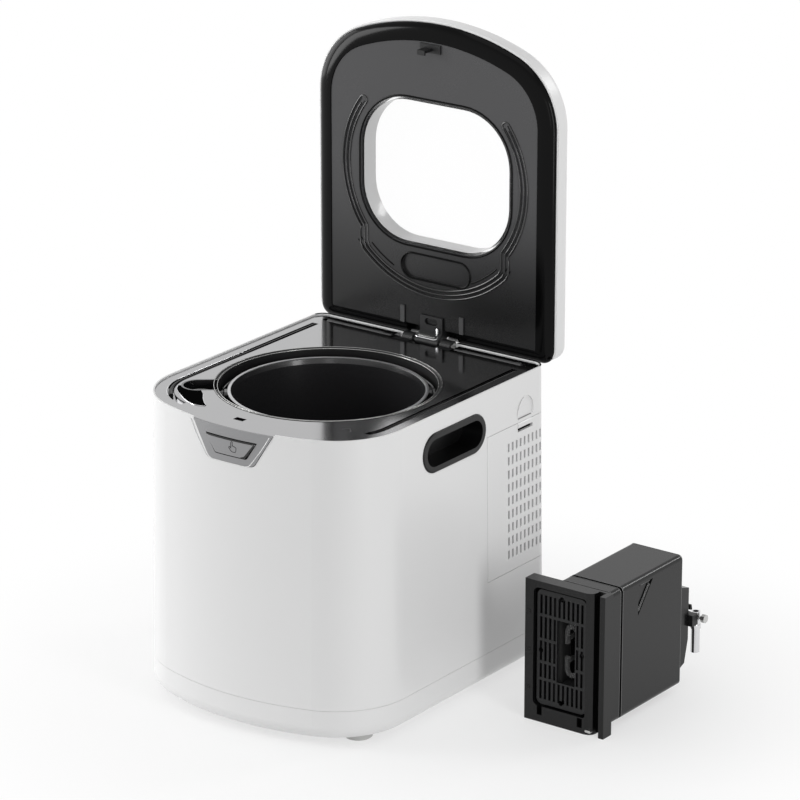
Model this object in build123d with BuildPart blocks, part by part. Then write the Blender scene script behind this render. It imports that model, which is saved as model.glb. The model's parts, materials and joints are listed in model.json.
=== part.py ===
from build123d import *
import os
from math import atan2, cos, radians, sin, sqrt

# Electric food waste composter: a drum-shaped kitchen machine with a flip-up lid, a lift-out
# bucket with a bail, a stirring drive under it and an air-cleaning cassette that slides into a
# bay behind a vented side door. The lid stands open and the cassette stands on the floor beside
# the machine. Millimetres, +Z up, front towards -Y, floor at Z = 0.

os.makedirs("parts", exist_ok=True)

# ---- where the machine and the cassette stand ----------------------------------------------
MX, MY = -84.0, -19.85         # middle of the machine's footprint
QX, QY = 133.0, 7.15           # cassette: front left corner of its flange

# ---- housing -------------------------------------------------------------------------------
HALF_W = 143.0                 # half width at the top rim
Y_FRONT, Y_REAR = -168.75, 168.75
R_FRONT, R_CORNER, R_REAR = 270.0, 79.0, 14.0
DRAFT = 0.014                  # the housing widens downwards, per mm of height and side
WALL = 3.0
BASE_Z, SEAM_Z = 7.0, 39.5     # underside of the base tray and its seam with the shell
SHELL_Z0, SHELL_TOP = 39.8, 319.0
DECK_Z, DECK_TOP = 312.0, 317.4
RIM = 1.6                      # width of the shell's edge round the deck

# ---- well, bucket and drive ----------------------------------------------------------------
WELL_Y = -7.0                  # the well's centre line, from the middle of the footprint
WELL_R = 114.3                 # outer edge of the well ring
RIM_R = 100.5                  # bucket rim
BUCKET_Z0, BUCKET_TOP = 164.0, 311.5
BAIL_AT = 38.0                 # direction of the bail's pivot axis, degrees from +X
BAIL_Z, BAIL_R = 304.5, 105.6
GEAR_X = -46.0                 # the pinion's centre, left of the big wheel

# ---- side grips and side door --------------------------------------------------------------
GRIP_Y, GRIP_Z, GRIP_L, GRIP_H = 8.5, 280.0, 106.0, 41.0
DOOR_Y0, DOOR_Z0, DOOR_Z1, DOOR_X0 = 64.0, 115.7, 269.5, 128.0
BAY_Y0, BAY_Y1, BAY_X0 = 97.0, 163.6, -70.0

# ---- lid (drawn standing open) -------------------------------------------------------------
HINGE_Y, HINGE_Z = 164.5, 314.5
LID_Y = 177.3                  # the open lid's inner rim plane
PANEL_Y = 170.0                # its inner panel, proud of the rim
LID_LOW = 316.0                # its lower edge
LID_HALF, LID_TIP = 148.5, 649.5
LID_DEPTH = 21.5

# ---- cassette ------------------------------------------------------------------------------
FL_W, FL_H, FL_T = 94.0, 150.0, 15.0
CASE_X0, CASE_W, CASE_Z0, CASE_Z1 = 28.0, 62.0, 8.0, 148.0
CASE_Y1 = 146.0


def level(z, x=0.0, y=0.0):
    """Horizontal plane of the machine at height z."""
    return Plane((MX + x, MY + y, z))


def facing_front(y, x=0.0, z=0.0):
    """Upright plane that looks towards the front; local x is X and local y is Z."""
    return Plane((MX + x, MY + y, z), x_dir=(1, 0, 0), z_dir=(0, -1, 0))


def facing_right(x, y=0.0, z=0.0):
    """Upright plane that looks to the right; local x is Y and local y is Z."""
    return Plane((MX + x, MY + y, z), x_dir=(0, 1, 0), z_dir=(1, 0, 0))


def facing_left(x, y=0.0, z=0.0):
    """Upright plane that looks to the left; local x is -Y and local y is Z."""
    return Plane((MX + x, MY + y, z), x_dir=(0, -1, 0), z_dir=(-1, 0, 0))


def spin_plane(y=WELL_Y, x=0.0):
    """Upright plane through a vertical axis: local x is the radius and local y the height."""
    return Plane((MX + x, MY + y, 0), x_dir=(1, 0, 0), z_dir=(0, -1, 0))


def spin_axis(y=WELL_Y, x=0.0):
    """The vertical axis of the well, or of another round piece."""
    return Axis((MX + x, MY + y, 0), (0, 0, 1))


def on_cassette(y, x=0.0, z=0.0):
    """Upright plane of the cassette that looks to its front."""
    return Plane((QX + x, QY + y, z), x_dir=(1, 0, 0), z_dir=(0, -1, 0))


def d_outline(grow=0.0):
    """Closed outline of the housing: bowed front, big front corners, small rear corners."""
    half, front, rear = HALF_W + grow, Y_FRONT - grow, Y_REAR + grow
    big, small, back = R_FRONT + grow, R_CORNER + grow, max(R_REAR + grow, 2.0)
    cy = front + big
    kx = half - small
    ky = cy - sqrt((big - small) ** 2 - kx ** 2)
    bend = atan2(ky - cy, kx)
    tx, ty = big * cos(bend), cy + big * sin(bend)
    sx, sy = kx + small * cos(bend / 2), ky + small * sin(bend / 2)
    cut = back * (1 - sqrt(0.5))
    ThreePointArc((-tx, ty), (0, front), (tx, ty))
    ThreePointArc((tx, ty), (sx, sy), (half, ky))
    Line((half, ky), (half, rear - back))
    ThreePointArc((half, rear - back), (half - cut, rear - cut), (half - back, rear))
    Line((half - back, rear), (back - half, rear))
    ThreePointArc((back - half, rear), (cut - half, rear - cut), (-half, rear - back))
    Line((-half, rear - back), (-half, ky))
    ThreePointArc((-half, ky), (-sx, sy), (-tx, ty))


def d_section(z, grow=0.0):
    """Filled section of the housing at height z, with its draft."""
    with BuildSketch(level(z)) as section:
        with BuildLine():
            d_outline((SHELL_TOP - z) * DRAFT + grow)
        make_face()
    return section.sketch.face()


def d_wall(z0, z1, wall):
    """Tapered tube of the housing between two heights."""
    loft([d_section(z0), d_section(z1)], ruled=True)
    loft([d_section(z0, -wall), d_section(z1, -wall)], ruled=True, mode=Mode.SUBTRACT)


def lid_outline(grow=0.0, low=LID_LOW, tip=LID_TIP, half=LID_HALF):
    """Closed outline of the standing lid; local x is X and local y is Z."""
    half, low, tip = half + grow, low - grow, tip + grow
    big, small, back = R_FRONT + grow, R_CORNER + grow, max(16.0 + grow, 2.0)
    cz = tip - big
    kx = half - small
    kz = cz + sqrt((big - small) ** 2 - kx ** 2)
    bend = atan2(kz - cz, kx)
    tx, tz = big * cos(bend), cz + big * sin(bend)
    sx, sz = kx + small * cos(bend / 2), kz + small * sin(bend / 2)
    cut = back * (1 - sqrt(0.5))
    ThreePointArc((-tx, tz), (0, tip), (tx, tz))
    ThreePointArc((tx, tz), (sx, sz), (half, kz))
    Line((half, kz), (half, low + back))
    ThreePointArc((half, low + back), (half - cut, low + cut), (half - back, low))
    Line((half - back, low), (back - half, low))
    ThreePointArc((back - half, low), (cut - half, low + cut), (-half, low + back))
    Line((-half, low + back), (-half, kz))
    ThreePointArc((-half, kz), (-sx, sz), (-tx, tz))


def lid_section(y, grow=0.0, low=LID_LOW):
    """Filled section of the standing lid in the upright plane at y."""
    with BuildSketch(facing_front(y)) as section:
        with BuildLine():
            lid_outline(grow, low)
        make_face()
    return section.sketch.face()


def window_shape(grow=0.0, mode=Mode.ADD):
    """Rounded square of the lid's window; local x is X and local y is Z."""
    with Locations((3.0, 490.5)):
        RectangleRounded(186.0 + 2 * grow, 154.0 + 2 * grow, 58.0 + grow, mode=mode)


# =============================================================================================
# Base, feet and shell
# =============================================================================================

# Base tray: a shallow dish with a rounded lower edge and posts for the drive plate
with BuildPart() as base_tray:
    loft([d_section(BASE_Z), d_section(SEAM_Z)], ruled=True)
    fillet(base_tray.faces().sort_by(Axis.Z)[0].edges(), 15.0)
    loft([d_section(BASE_Z + 3.5, -16.0), d_section(SEAM_Z + 1.0, -WALL)], ruled=True,
         mode=Mode.SUBTRACT)
    # drive posts
    with BuildSketch(level(BASE_Z + 3.5, 0, WELL_Y)):
        with GridLocations(116, 116, 2, 2):
            Circle(8.0)
    extrude(amount=48.5 - BASE_Z)
    # tongue that locates the shell
    with BuildSketch(level(SEAM_Z - 4.0)):
        with BuildLine():
            d_outline(0.0)
        make_face()
        with BuildLine():
            d_outline(-2.0)
        make_face(mode=Mode.SUBTRACT)
    extrude(amount=4.0 + 3.0)
    # seats of the feet
    with BuildSketch(level(BASE_Z)):
        with Locations((-110, -106), (110, -106), (-110, 130), (110, 130)):
            Circle(11.0)
    extrude(amount=2.0, mode=Mode.SUBTRACT)
base_tray.part.label = "base_tray"

# Four round rubber feet, pressed into the tray
with BuildPart() as feet:
    with BuildSketch(level(0)):
        with Locations((-110, -106), (110, -106), (-110, 130), (110, 130)):
            Circle(14.5)
    extrude(amount=BASE_Z)
    fillet(feet.faces().sort_by(Axis.Z)[0:4].edges(), 1.6)
    with BuildSketch(level(BASE_Z)):
        with Locations((-110, -106), (110, -106), (-110, 130), (110, 130)):
            Circle(11.0)
    extrude(amount=2.0)
feet.part.label = "feet"

# Body shell: one tapered wall with all its openings
with BuildPart() as body_shell:
    d_wall(SHELL_Z0, SHELL_TOP, WALL)
    # ledge that carries the deck, and the rebate above it
    with BuildSketch(level(DECK_Z - 6.0)):
        with BuildLine():
            d_outline(-1.0)
        make_face()
        with BuildLine():
            d_outline(-9.0)
        make_face(mode=Mode.SUBTRACT)
    extrude(amount=6.0)
    with BuildSketch(level(DECK_Z)):
        with BuildLine():
            d_outline(-RIM)
        make_face()
    extrude(amount=8.0, mode=Mode.SUBTRACT)
    # rebate for the base tray's tongue
    with BuildSketch(level(SHELL_Z0 - 1.0)):
        with BuildLine():
            d_outline(0.3)
        make_face()
    extrude(amount=5.0, mode=Mode.SUBTRACT)
    # side grips: the opening and the seat of the grip's flange, both sides
    for plane in (facing_right(120), facing_left(-120)):
        with BuildSketch(plane):
            with Locations((GRIP_Y if plane.z_dir.X > 0 else -GRIP_Y, GRIP_Z)):
                SlotOverall(GRIP_L - 7.0, GRIP_H - 7.0)
        extrude(amount=40.0, mode=Mode.SUBTRACT)
    for plane in (facing_right(141.8), facing_left(-141.8)):
        with BuildSketch(plane):
            with Locations((GRIP_Y if plane.z_dir.X > 0 else -GRIP_Y, GRIP_Z)):
                SlotOverall(GRIP_L + 0.5, GRIP_H + 0.5)
        extrude(amount=20.0, mode=Mode.SUBTRACT)
    # opening for the side door, wrapping round the right rear corner
    with BuildSketch(level(DOOR_Z0 - 0.5)):
        with Locations(((DOOR_X0 + 170) / 2, (DOOR_Y0 + 200) / 2)):
            Rectangle(170 - DOOR_X0, 200 - DOOR_Y0)
    extrude(amount=DOOR_Z1 - DOOR_Z0 + 1.0, mode=Mode.SUBTRACT)
    # finger recess above the door
    with BuildSketch(facing_right(141.6, 130.8, 273.0)):
        with BuildLine():
            Line((-13.0, 0), (13.0, 0))
            ThreePointArc((13.0, 0), (2.0, 22.0), (-13.0, 0))
        make_face()
    extrude(amount=12.0, mode=Mode.SUBTRACT)
    # button bay at the front, open to the top
    with BuildSketch(facing_front(-150.0, 4.0)):
        with BuildLine():
            button_notch = Polyline((-49.5, 330), (-49.5, 319), (-27.0, 282.0), (27.0, 282.0),
                                    (49.5, 319), (49.5, 330), close=True)
        make_face()
        fillet(vertices().group_by(Axis.Y)[0], 9.0)
    extrude(amount=40.0, mode=Mode.SUBTRACT)
    # hinge notch and power inlet at the rear
    with BuildSketch(facing_front(190.0)):
        with Locations((0, 310.0)):
            Rectangle(64.0, 24.0)
        with Locations((-88.0, 66.0)):
            RectangleRounded(50.0, 29.0, 3.0)
    extrude(amount=40.0, mode=Mode.SUBTRACT)
    # exhaust louvres, low on the rear wall
    with BuildSketch(facing_front(190.0, -20.0, 150.0)):
        with GridLocations(12.0, 12.0, 7, 6):
            Rectangle(8.0, 3.0)
    extrude(amount=40.0, mode=Mode.SUBTRACT)
body_shell.part.label = "body_shell"

# =============================================================================================
# Deck round the well
# =============================================================================================

# Deck plate: well opening, pocket for the bail's paddle, seal groove, hinge and latch openings
with BuildPart() as deck:
    with BuildSketch(level(DECK_Z)):
        with BuildLine():
            d_outline(-RIM - 0.2)
        make_face()
        with Locations((0, WELL_Y)):
            Circle(111.2, mode=Mode.SUBTRACT)
        with Locations(Location((118.0 * cos(radians(180 + BAIL_AT)),
                                 WELL_Y + 118.0 * sin(radians(180 + BAIL_AT)), 0),
                                (0, 0, BAIL_AT))):
            SlotOverall(56.0, 34.0, mode=Mode.SUBTRACT)
        with Locations((0, 160.0)):
            Rectangle(76.0, 28.0, mode=Mode.SUBTRACT)
        with Locations((-5.0, -142.5)):
            Rectangle(12.0, 7.0, mode=Mode.SUBTRACT)
    extrude(amount=DECK_TOP - DECK_Z)
    # counterbore for the well ring
    with BuildSketch(level(DECK_TOP - 3.0)):
        with Locations((0, WELL_Y)):
            Circle(WELL_R + 0.2)
    extrude(amount=4.0, mode=Mode.SUBTRACT)
    # seal groove along both sides and the rear
    with BuildSketch(level(DECK_TOP - 3.4)):
        with BuildLine():
            d_outline(-14.0)
        make_face()
        with BuildLine():
            d_outline(-21.0)
        make_face(mode=Mode.SUBTRACT)
        with Locations((50.0, -140.0)):
            Rectangle(256.0, 72.0, mode=Mode.SUBTRACT)
        with Locations((0, 160.0)):
            Rectangle(300.0, 44.0, mode=Mode.SUBTRACT)
    extrude(amount=5.0, mode=Mode.SUBTRACT)
    # troughs of the torsion rods in front of the hinge
    with BuildSketch(level(313.1)):
        with Locations((-83.5, 154.0), (83.5, 154.0)):
            Rectangle(88.0, 6.4)
    extrude(amount=9.0, mode=Mode.SUBTRACT)
deck.part.label = "deck"

# Seal lying in the deck's groove
with BuildPart() as deck_seal:
    with BuildSketch(level(DECK_TOP - 3.4)):
        with BuildLine():
            d_outline(-14.6)
        make_face()
        with BuildLine():
            d_outline(-20.4)
        make_face(mode=Mode.SUBTRACT)
        with Locations((49.7, -140.0)):
            Rectangle(256.6, 73.0, mode=Mode.SUBTRACT)
        with Locations((0, 160.0)):
            Rectangle(300.0, 45.0, mode=Mode.SUBTRACT)
    extrude(amount=2.4)
deck_seal.part.label = "deck_seal"

# Pocket cup under the deck for the bail's paddle, open towards the well
with BuildPart() as bail_pocket:
    pocket_at = Location((118.0 * cos(radians(180 + BAIL_AT)),
                          WELL_Y + 118.0 * sin(radians(180 + BAIL_AT)), 0), (0, 0, BAIL_AT))
    with BuildSketch(level(291.0)):
        with Locations(pocket_at):
            SlotOverall(55.6, 33.6)
        with Locations((0, WELL_Y)):
            Circle(111.2, mode=Mode.SUBTRACT)
    extrude(amount=DECK_TOP - 291.0)
    with BuildSketch(level(293.0)):
        with Locations(pocket_at):
            SlotOverall(52.0, 30.0)
    extrude(amount=40.0, mode=Mode.SUBTRACT)
bail_pocket.part.label = "bail_pocket"

# Well liner: ring on the deck, bail channel, tapered wall and floor with a drive opening
with BuildPart() as well_liner:
    with BuildSketch(spin_plane()):
        with BuildLine():
            Polyline((15.0, 157.0), (91.0, 157.0), (104.6, 296.0), (111.0, 296.0),
                     (111.0, DECK_TOP - 3.0), (WELL_R, DECK_TOP - 3.0), (WELL_R, DECK_TOP + 0.4),
                     (WELL_R - 1.6, DECK_TOP + 0.4), (WELL_R - 2.2, DECK_TOP - 0.4),
                     (109.4, DECK_TOP - 0.6), (109.4, 297.6), (103.2, 297.6), (89.6, 158.6),
                     (15.0, 158.6), close=True)
        make_face()
    revolve(axis=spin_axis())
    with BuildSketch(level(297.6)):
        with Locations(Location((118.0 * cos(radians(180 + BAIL_AT)),
                                 WELL_Y + 118.0 * sin(radians(180 + BAIL_AT)), 0),
                                (0, 0, BAIL_AT))):
            SlotOverall(56.0, 34.0)
    extrude(amount=30.0, mode=Mode.SUBTRACT)
    with BuildSketch(level(293.2)):
        with Locations(Location((118.0 * cos(radians(180 + BAIL_AT)),
                                 WELL_Y + 118.0 * sin(radians(180 + BAIL_AT)), 0),
                                (0, 0, BAIL_AT))):
            SlotOverall(56.0, 28.0)
        with Locations((0, WELL_Y)):
            Circle(108.2, mode=Mode.SUBTRACT)
    extrude(amount=4.6, mode=Mode.SUBTRACT)
well_liner.part.label = "well_liner"

# Heating plate on the liner's floor
with BuildPart() as heater_plate:
    with BuildSketch(level(158.6, 0, WELL_Y)):
        Circle(80.0)
        Circle(17.0, mode=Mode.SUBTRACT)
    extrude(amount=5.1)
    chamfer(heater_plate.faces().sort_by(Axis.Z)[-1].edges(), 1.0)
heater_plate.part.label = "heater_plate"

# =============================================================================================
# Bucket, bail and stirrer
# =============================================================================================

# Bucket: tapered pot with a rolled rim, a shaft bush in its floor and two bail ears
with BuildPart() as bucket:
    with BuildSketch(spin_plane()):
        with BuildLine():
            Polyline((5.06, 160.0), (9.0, 160.0), (9.0, BUCKET_Z0), (78.0, BUCKET_Z0),
                     (85.0, 171.0), (97.6, 305.0), (RIM_R, 308.0), (RIM_R, BUCKET_TOP),
                     (97.0, BUCKET_TOP), (95.8, 306.0), (83.4, 172.0), (77.0, BUCKET_Z0 + 1.6),
                     (9.0, BUCKET_Z0 + 1.6), (8.0, 180.0), (5.06, 180.0), close=True)
        make_face()
        fillet(vertices().group_by(Axis.Y)[-1], 1.2)
    revolve(axis=spin_axis())
    for turn in (BAIL_AT, BAIL_AT + 180.0):
        ear_plane = Plane((MX, MY + WELL_Y, 0), x_dir=(-sin(radians(turn)), cos(radians(turn)), 0),
                          z_dir=(cos(radians(turn)), sin(radians(turn)), 0))
        with BuildSketch(ear_plane.offset(96.9)):
            with Locations((0, BAIL_Z)):
                RectangleRounded(15.0, 13.0, 3.0)
        extrude(amount=103.2 - 96.9)
        with BuildSketch(ear_plane.offset(103.2)):
            with Locations((0, BAIL_Z)):
                Circle(3.0)
        extrude(amount=5.2)
bucket.part.label = "bucket"

# Bail: a half hoop with a pivot boss at each end and a thumb paddle at the front left one
with BuildPart() as bail_handle:
    hoop_plane = Plane((MX, MY + WELL_Y, BAIL_Z),
                       x_dir=(cos(radians(BAIL_AT)), sin(radians(BAIL_AT)), 0), z_dir=(0, 0, 1))
    with BuildSketch(hoop_plane.offset(-3.0)):
        with BuildLine():
            CenterArc((0, 0), BAIL_R + 2.0, 3.0, 174.0)
            Line(((BAIL_R + 2.0) * cos(radians(3)), (BAIL_R + 2.0) * sin(radians(3))),
                 ((BAIL_R - 2.0) * cos(radians(3)), (BAIL_R - 2.0) * sin(radians(3))))
            CenterArc((0, 0), BAIL_R - 2.0, 3.0, 174.0)
            Line((-(BAIL_R + 2.0) * cos(radians(3)), (BAIL_R + 2.0) * sin(radians(3))),
                 (-(BAIL_R - 2.0) * cos(radians(3)), (BAIL_R - 2.0) * sin(radians(3))))
        make_face()
    extrude(amount=6.0)
    for turn in (BAIL_AT, BAIL_AT + 180.0):
        boss_plane = Plane((MX, MY + WELL_Y, 0), x_dir=(-sin(radians(turn)), cos(radians(turn)), 0),
                           z_dir=(cos(radians(turn)), sin(radians(turn)), 0))
        with BuildSketch(boss_plane.offset(BAIL_R - 2.0)):
            with Locations((0, BAIL_Z)):
                Circle(6.3)
        extrude(amount=4.0)
    with BuildSketch(boss_plane.offset(BAIL_R + 2.0)):
        with Locations((0, BAIL_Z)):
            Circle(6.3)
    extrude(amount=1.2)
    with BuildSketch(boss_plane.offset(BAIL_R + 3.2)):
        with Locations((0, BAIL_Z)):
            SlotOverall(20.0, 9.0)
    extrude(amount=18.0, taper=6)
    for turn in (BAIL_AT, BAIL_AT + 180.0):
        bore_plane = Plane((MX, MY + WELL_Y, 0), x_dir=(-sin(radians(turn)), cos(radians(turn)), 0),
                           z_dir=(cos(radians(turn)), sin(radians(turn)), 0))
        with BuildSketch(bore_plane.offset(BAIL_R - 3.0)):
            with Locations((0, BAIL_Z)):
                Circle(3.06)
        extrude(amount=6.0, mode=Mode.SUBTRACT)
bail_handle.part.label = "bail_handle"

# Stirrer: shaft with a cross dog below the floor and three curved arms above it
with BuildPart() as agitator:
    with BuildSketch(level(149.0, 0, WELL_Y)):
        Circle(5.0)
    extrude(amount=53.0)
    with BuildSketch(level(149.0, 0, WELL_Y)):
        RectangleRounded(17.0, 4.6, 1.0)
    extrude(amount=7.0)
    with BuildSketch(level(180.3, 0, WELL_Y)):
        Circle(11.0)
    extrude(amount=28.0)
    fillet(agitator.faces().sort_by(Axis.Z)[-1].edges(), 4.0)
    for i in range(3):
        turn = 20.0 + 120.0 * i
        arm_plane = Plane((MX, MY + WELL_Y, 168.5 + 7.0 * i), z_dir=(0, 0, 1),
                          x_dir=(cos(radians(turn)), sin(radians(turn)), 0))
        with BuildSketch(arm_plane):
            with BuildLine():
                ThreePointArc((12.0, -4.5), (44.0, 3.0), (74.0, -5.0))
                ThreePointArc((74.0, -5.0), (77.5, -1.0), (76.0, 4.0))
                ThreePointArc((76.0, 4.0), (44.0, 15.0), (12.0, 4.5))
                Line((12.0, 4.5), (12.0, -4.5))
            make_face()
        extrude(amount=15.0, taper=9)
        with BuildSketch(arm_plane.offset(11.9)):
            with Locations((9.0, 0)):
                Rectangle(12.0, 9.0)
        extrude(amount=10.0)
agitator.part.label = "agitator"

# =============================================================================================
# Drive under the well
# =============================================================================================

# Steel plate on the tray's posts; it carries the motor, the wheel's bearing and the gear cover
with BuildPart() as drive_plate:
    with BuildSketch(level(52.0, 0, WELL_Y)):
        RectangleRounded(138.0, 138.0, 10.0)
        Circle(6.06, mode=Mode.SUBTRACT)
        with Locations((GEAR_X, 0)):
            Circle(8.0, mode=Mode.SUBTRACT)
    extrude(amount=3.0)
    with BuildSketch(level(46.0, 0, WELL_Y)):
        Circle(11.0)
        Circle(6.06, mode=Mode.SUBTRACT)
    extrude(amount=6.0)
drive_plate.part.label = "drive_plate"

# Four screws that hold the plate to the posts
with BuildPart() as plate_screws:
    with BuildSketch(level(55.0, 0, WELL_Y)):
        with GridLocations(116, 116, 2, 2):
            Circle(4.2)
    extrude(amount=2.6)
    with BuildSketch(level(56.2, 0, WELL_Y)):
        with GridLocations(116, 116, 2, 2):
            Rectangle(4.6, 1.0)
            Rectangle(1.0, 4.6)
    extrude(amount=3.0, mode=Mode.SUBTRACT)
plate_screws.part.label = "plate_screws"

# Motor can hung under the plate
with BuildPart() as motor:
    with BuildSketch(level(15.0, GEAR_X, WELL_Y)):
        Circle(20.0)
    extrude(amount=34.0)
    fillet(motor.faces().sort_by(Axis.Z)[0].edges(), 3.0)
    with BuildSketch(level(49.0, GEAR_X, WELL_Y)):
        Circle(14.0)
    extrude(amount=3.0)
    with BuildSketch(level(12.0, GEAR_X, WELL_Y)):
        Circle(7.0)
    extrude(amount=3.0)
    with BuildSketch(level(40.0, GEAR_X, WELL_Y)):
        Circle(3.06)
    extrude(amount=15.0, mode=Mode.SUBTRACT)
motor.part.label = "motor"


def gear(plane, teeth, root, tip, base_w, tip_w, thick, first):
    """Spur gear blank with straight-sided teeth, added to the part being built."""
    with BuildSketch(plane) as profile:
        Circle(root)
        with PolarLocations(0, teeth, start_angle=first):
            Polygon((root - 0.6, base_w / 2), (tip, tip_w / 2), (tip, -tip_w / 2),
                    (root - 0.6, -base_w / 2), align=None)
    extrude(profile.sketch, amount=thick)


# Motor shaft with its pinion
with BuildPart() as pinion:
    with BuildSketch(level(41.0, GEAR_X, WELL_Y)):
        Circle(3.0)
    extrude(amount=29.0)
    gear(level(57.5, GEAR_X, WELL_Y), 12, 8.3, 11.5, 3.3, 1.5, 10.0, 15.0)
pinion.part.label = "pinion"

# Drive wheel on the output shaft, which carries the cup of the coupling at its top
with BuildPart() as drive_wheel:
    with BuildSketch(level(47.0, 0, WELL_Y)):
        Circle(6.0)
    extrude(amount=92.0)
    with BuildSketch(level(55.3, 0, WELL_Y)):
        Circle(12.0)
    extrude(amount=14.0)
    gear(level(58.0, 0, WELL_Y), 42, 33.9, 37.1, 3.2, 1.4, 9.0, 0.0)
    with BuildSketch(level(62.5, 0, WELL_Y)):
        Circle(30.0)
        Circle(14.0, mode=Mode.SUBTRACT)
    extrude(amount=8.0, mode=Mode.SUBTRACT)
drive_wheel.part.label = "drive_wheel"

# Cover over the gears, with the upper bearing of the output shaft
with BuildPart() as gear_cover:
    with BuildSketch(level(55.0, 0, WELL_Y)):
        Circle(42.0)
        with Locations((GEAR_X, 0)):
            Circle(17.0)
        make_hull()
    extrude(amount=20.0)
    fillet(gear_cover.faces().sort_by(Axis.Z)[-1].edges(), 3.0)
    with BuildSketch(level(55.0, 0, WELL_Y)):
        Circle(39.6)
        with Locations((GEAR_X, 0)):
            Circle(14.6)
        make_hull()
    extrude(amount=17.6, mode=Mode.SUBTRACT)
    with BuildSketch(level(70.6, 0, WELL_Y)):
        Circle(12.0)
    extrude(amount=22.0)
    with BuildSketch(level(50.0, 0, WELL_Y)):
        Circle(6.06)
    extrude(amount=60.0, mode=Mode.SUBTRACT)
gear_cover.part.label = "gear_cover"

# Coupling cup pressed on the shaft: two lugs drive the stirrer's dog
with BuildPart() as drive_coupling:
    with BuildSketch(level(130.0, 0, WELL_Y)):
        Circle(13.0)
        Circle(6.0, mode=Mode.SUBTRACT)
    extrude(amount=9.0)
    with BuildSketch(level(139.0, 0, WELL_Y)):
        Circle(13.0)
    extrude(amount=17.0)
    with BuildSketch(level(147.0, 0, WELL_Y)):
        Circle(9.8)
    extrude(amount=20.0, mode=Mode.SUBTRACT)
    with BuildSketch(level(147.0, 0, WELL_Y)):
        with Locations((0, 7.8), (0, -7.8)):
            Rectangle(6.0, 5.2)
    extrude(amount=8.0)
drive_coupling.part.label = "drive_coupling"

# Control board on four standoffs in the left rear of the tray
with BuildPart() as control_board:
    with BuildSketch(level(16.0, -82.0, 98.0)):
        RectangleRounded(78.0, 62.0, 2.0)
    extrude(amount=1.6)
    with BuildSketch(level(10.5, -82.0, 98.0)):
        with GridLocations(68, 52, 2, 2):
            Circle(3.0)
    extrude(amount=5.5)
    with BuildSketch(level(17.6, -82.0, 98.0)):
        with Locations((-20, 12)):
            Rectangle(26.0, 22.0)
    extrude(amount=20.0)
    with BuildSketch(level(17.6, -82.0, 98.0)):
        with Locations((8, 16), (24, 16)):
            Circle(6.0)
    extrude(amount=16.0)
    with BuildSketch(level(17.6, -82.0, 98.0)):
        with GridLocations(14.0, 12.0, 4, 2):
            Rectangle(9.0, 7.0)
    extrude(amount=4.0)
control_board.part.label = "control_board"

# Mains inlet in the rear wall: flange, socket well and three pins
with BuildPart() as power_inlet:
    with BuildSketch(facing_front(174.6, -88.0, 66.0)):
        RectangleRounded(56.0, 34.0, 4.0)
    extrude(amount=2.0)
    with BuildSketch(facing_front(172.7, -88.0, 66.0)):
        RectangleRounded(49.0, 28.0, 3.0)
    extrude(amount=28.0)
    with BuildSketch(facing_front(175.0, -88.0, 66.0)):
        RectangleRounded(27.0, 19.0, 3.0)
    extrude(amount=20.0, mode=Mode.SUBTRACT)
    with BuildSketch(facing_front(169.0, -88.0, 66.0)):
        with Locations((-7, -2), (0, 2), (7, -2)):
            Rectangle(2.0, 4.0)
    extrude(amount=16.0)
power_inlet.part.label = "power_inlet"

# =============================================================================================
# Side grips, side door and cassette bay
# =============================================================================================


def grip_cup(plane):
    """Stadium grip: a flange on the wall and a cup behind it, added to the part being built."""
    side = 1 if plane.z_dir.X > 0 else -1
    with BuildSketch(plane) as flange:
        with Locations((GRIP_Y * side, GRIP_Z)):
            SlotOverall(GRIP_L, GRIP_H)
    extrude(flange.sketch, amount=3.0)
    fillet(faces().sort_by(Axis((0, 0, 0), plane.z_dir))[-1].edges(), 1.4)
    with BuildSketch(plane) as cup:
        with Locations((GRIP_Y * side, GRIP_Z)):
            SlotOverall(GRIP_L - 7.6, GRIP_H - 7.6)
    extrude(cup.sketch, amount=-24.0)
    with BuildSketch(plane.offset(-21.5)) as hollow:
        with Locations((GRIP_Y * side, GRIP_Z)):
            SlotOverall(GRIP_L - 12.6, GRIP_H - 12.6)
    extrude(hollow.sketch, amount=30.0, mode=Mode.SUBTRACT)


with BuildPart() as grip_right:
    grip_cup(facing_right(141.8))
grip_right.part.label = "grip_right"

with BuildPart() as grip_left:
    grip_cup(facing_left(-141.8))
grip_left.part.label = "grip_left"

# Vented side door, wrapping round the rear corner
with BuildPart() as side_door:
    d_wall(DOOR_Z0 - 5.0, DOOR_Z1 + 5.0, WALL)
    with BuildSketch(level(DOOR_Z0)):
        with Locations(((DOOR_X0 + 0.5 + 170) / 2, (DOOR_Y0 + 0.5 + 200) / 2)):
            Rectangle(169.5 - DOOR_X0, 199.5 - DOOR_Y0)
    extrude(amount=DOOR_Z1 - DOOR_Z0, mode=Mode.INTERSECT)
    # latch notch in the upper edge
    with BuildSketch(facing_right(139.0, 130.5)):
        with Locations((0, DOOR_Z1)):
            Rectangle(26.0, 19.0)
    extrude(amount=12.0, mode=Mode.SUBTRACT)
    # vent slots
    with BuildSketch(facing_right(139.0, 129.5, 191.0)):
        with GridLocations(7.0, 14.3, 9, 9):
            Rectangle(3.0, 9.0)
    extrude(amount=12.0, mode=Mode.SUBTRACT)
side_door.part.label = "side_door"

# Latch tab of the door
with BuildPart() as door_latch:
    with BuildSketch(facing_right(141.2, 130.5)):
        with Locations((0, DOOR_Z1 - 3.1)):
            Rectangle(25.2, 6.0)
    extrude(amount=3.0)
    with BuildSketch(facing_right(136.0, 130.5)):
        with Locations((0, DOOR_Z1 - 4.0)):
            Rectangle(12.0, 4.0)
    extrude(amount=5.2)
    chamfer(door_latch.faces().sort_by(Axis.X)[-1].edges().filter_by(Axis.Y), 1.0)
door_latch.part.label = "door_latch"

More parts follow.
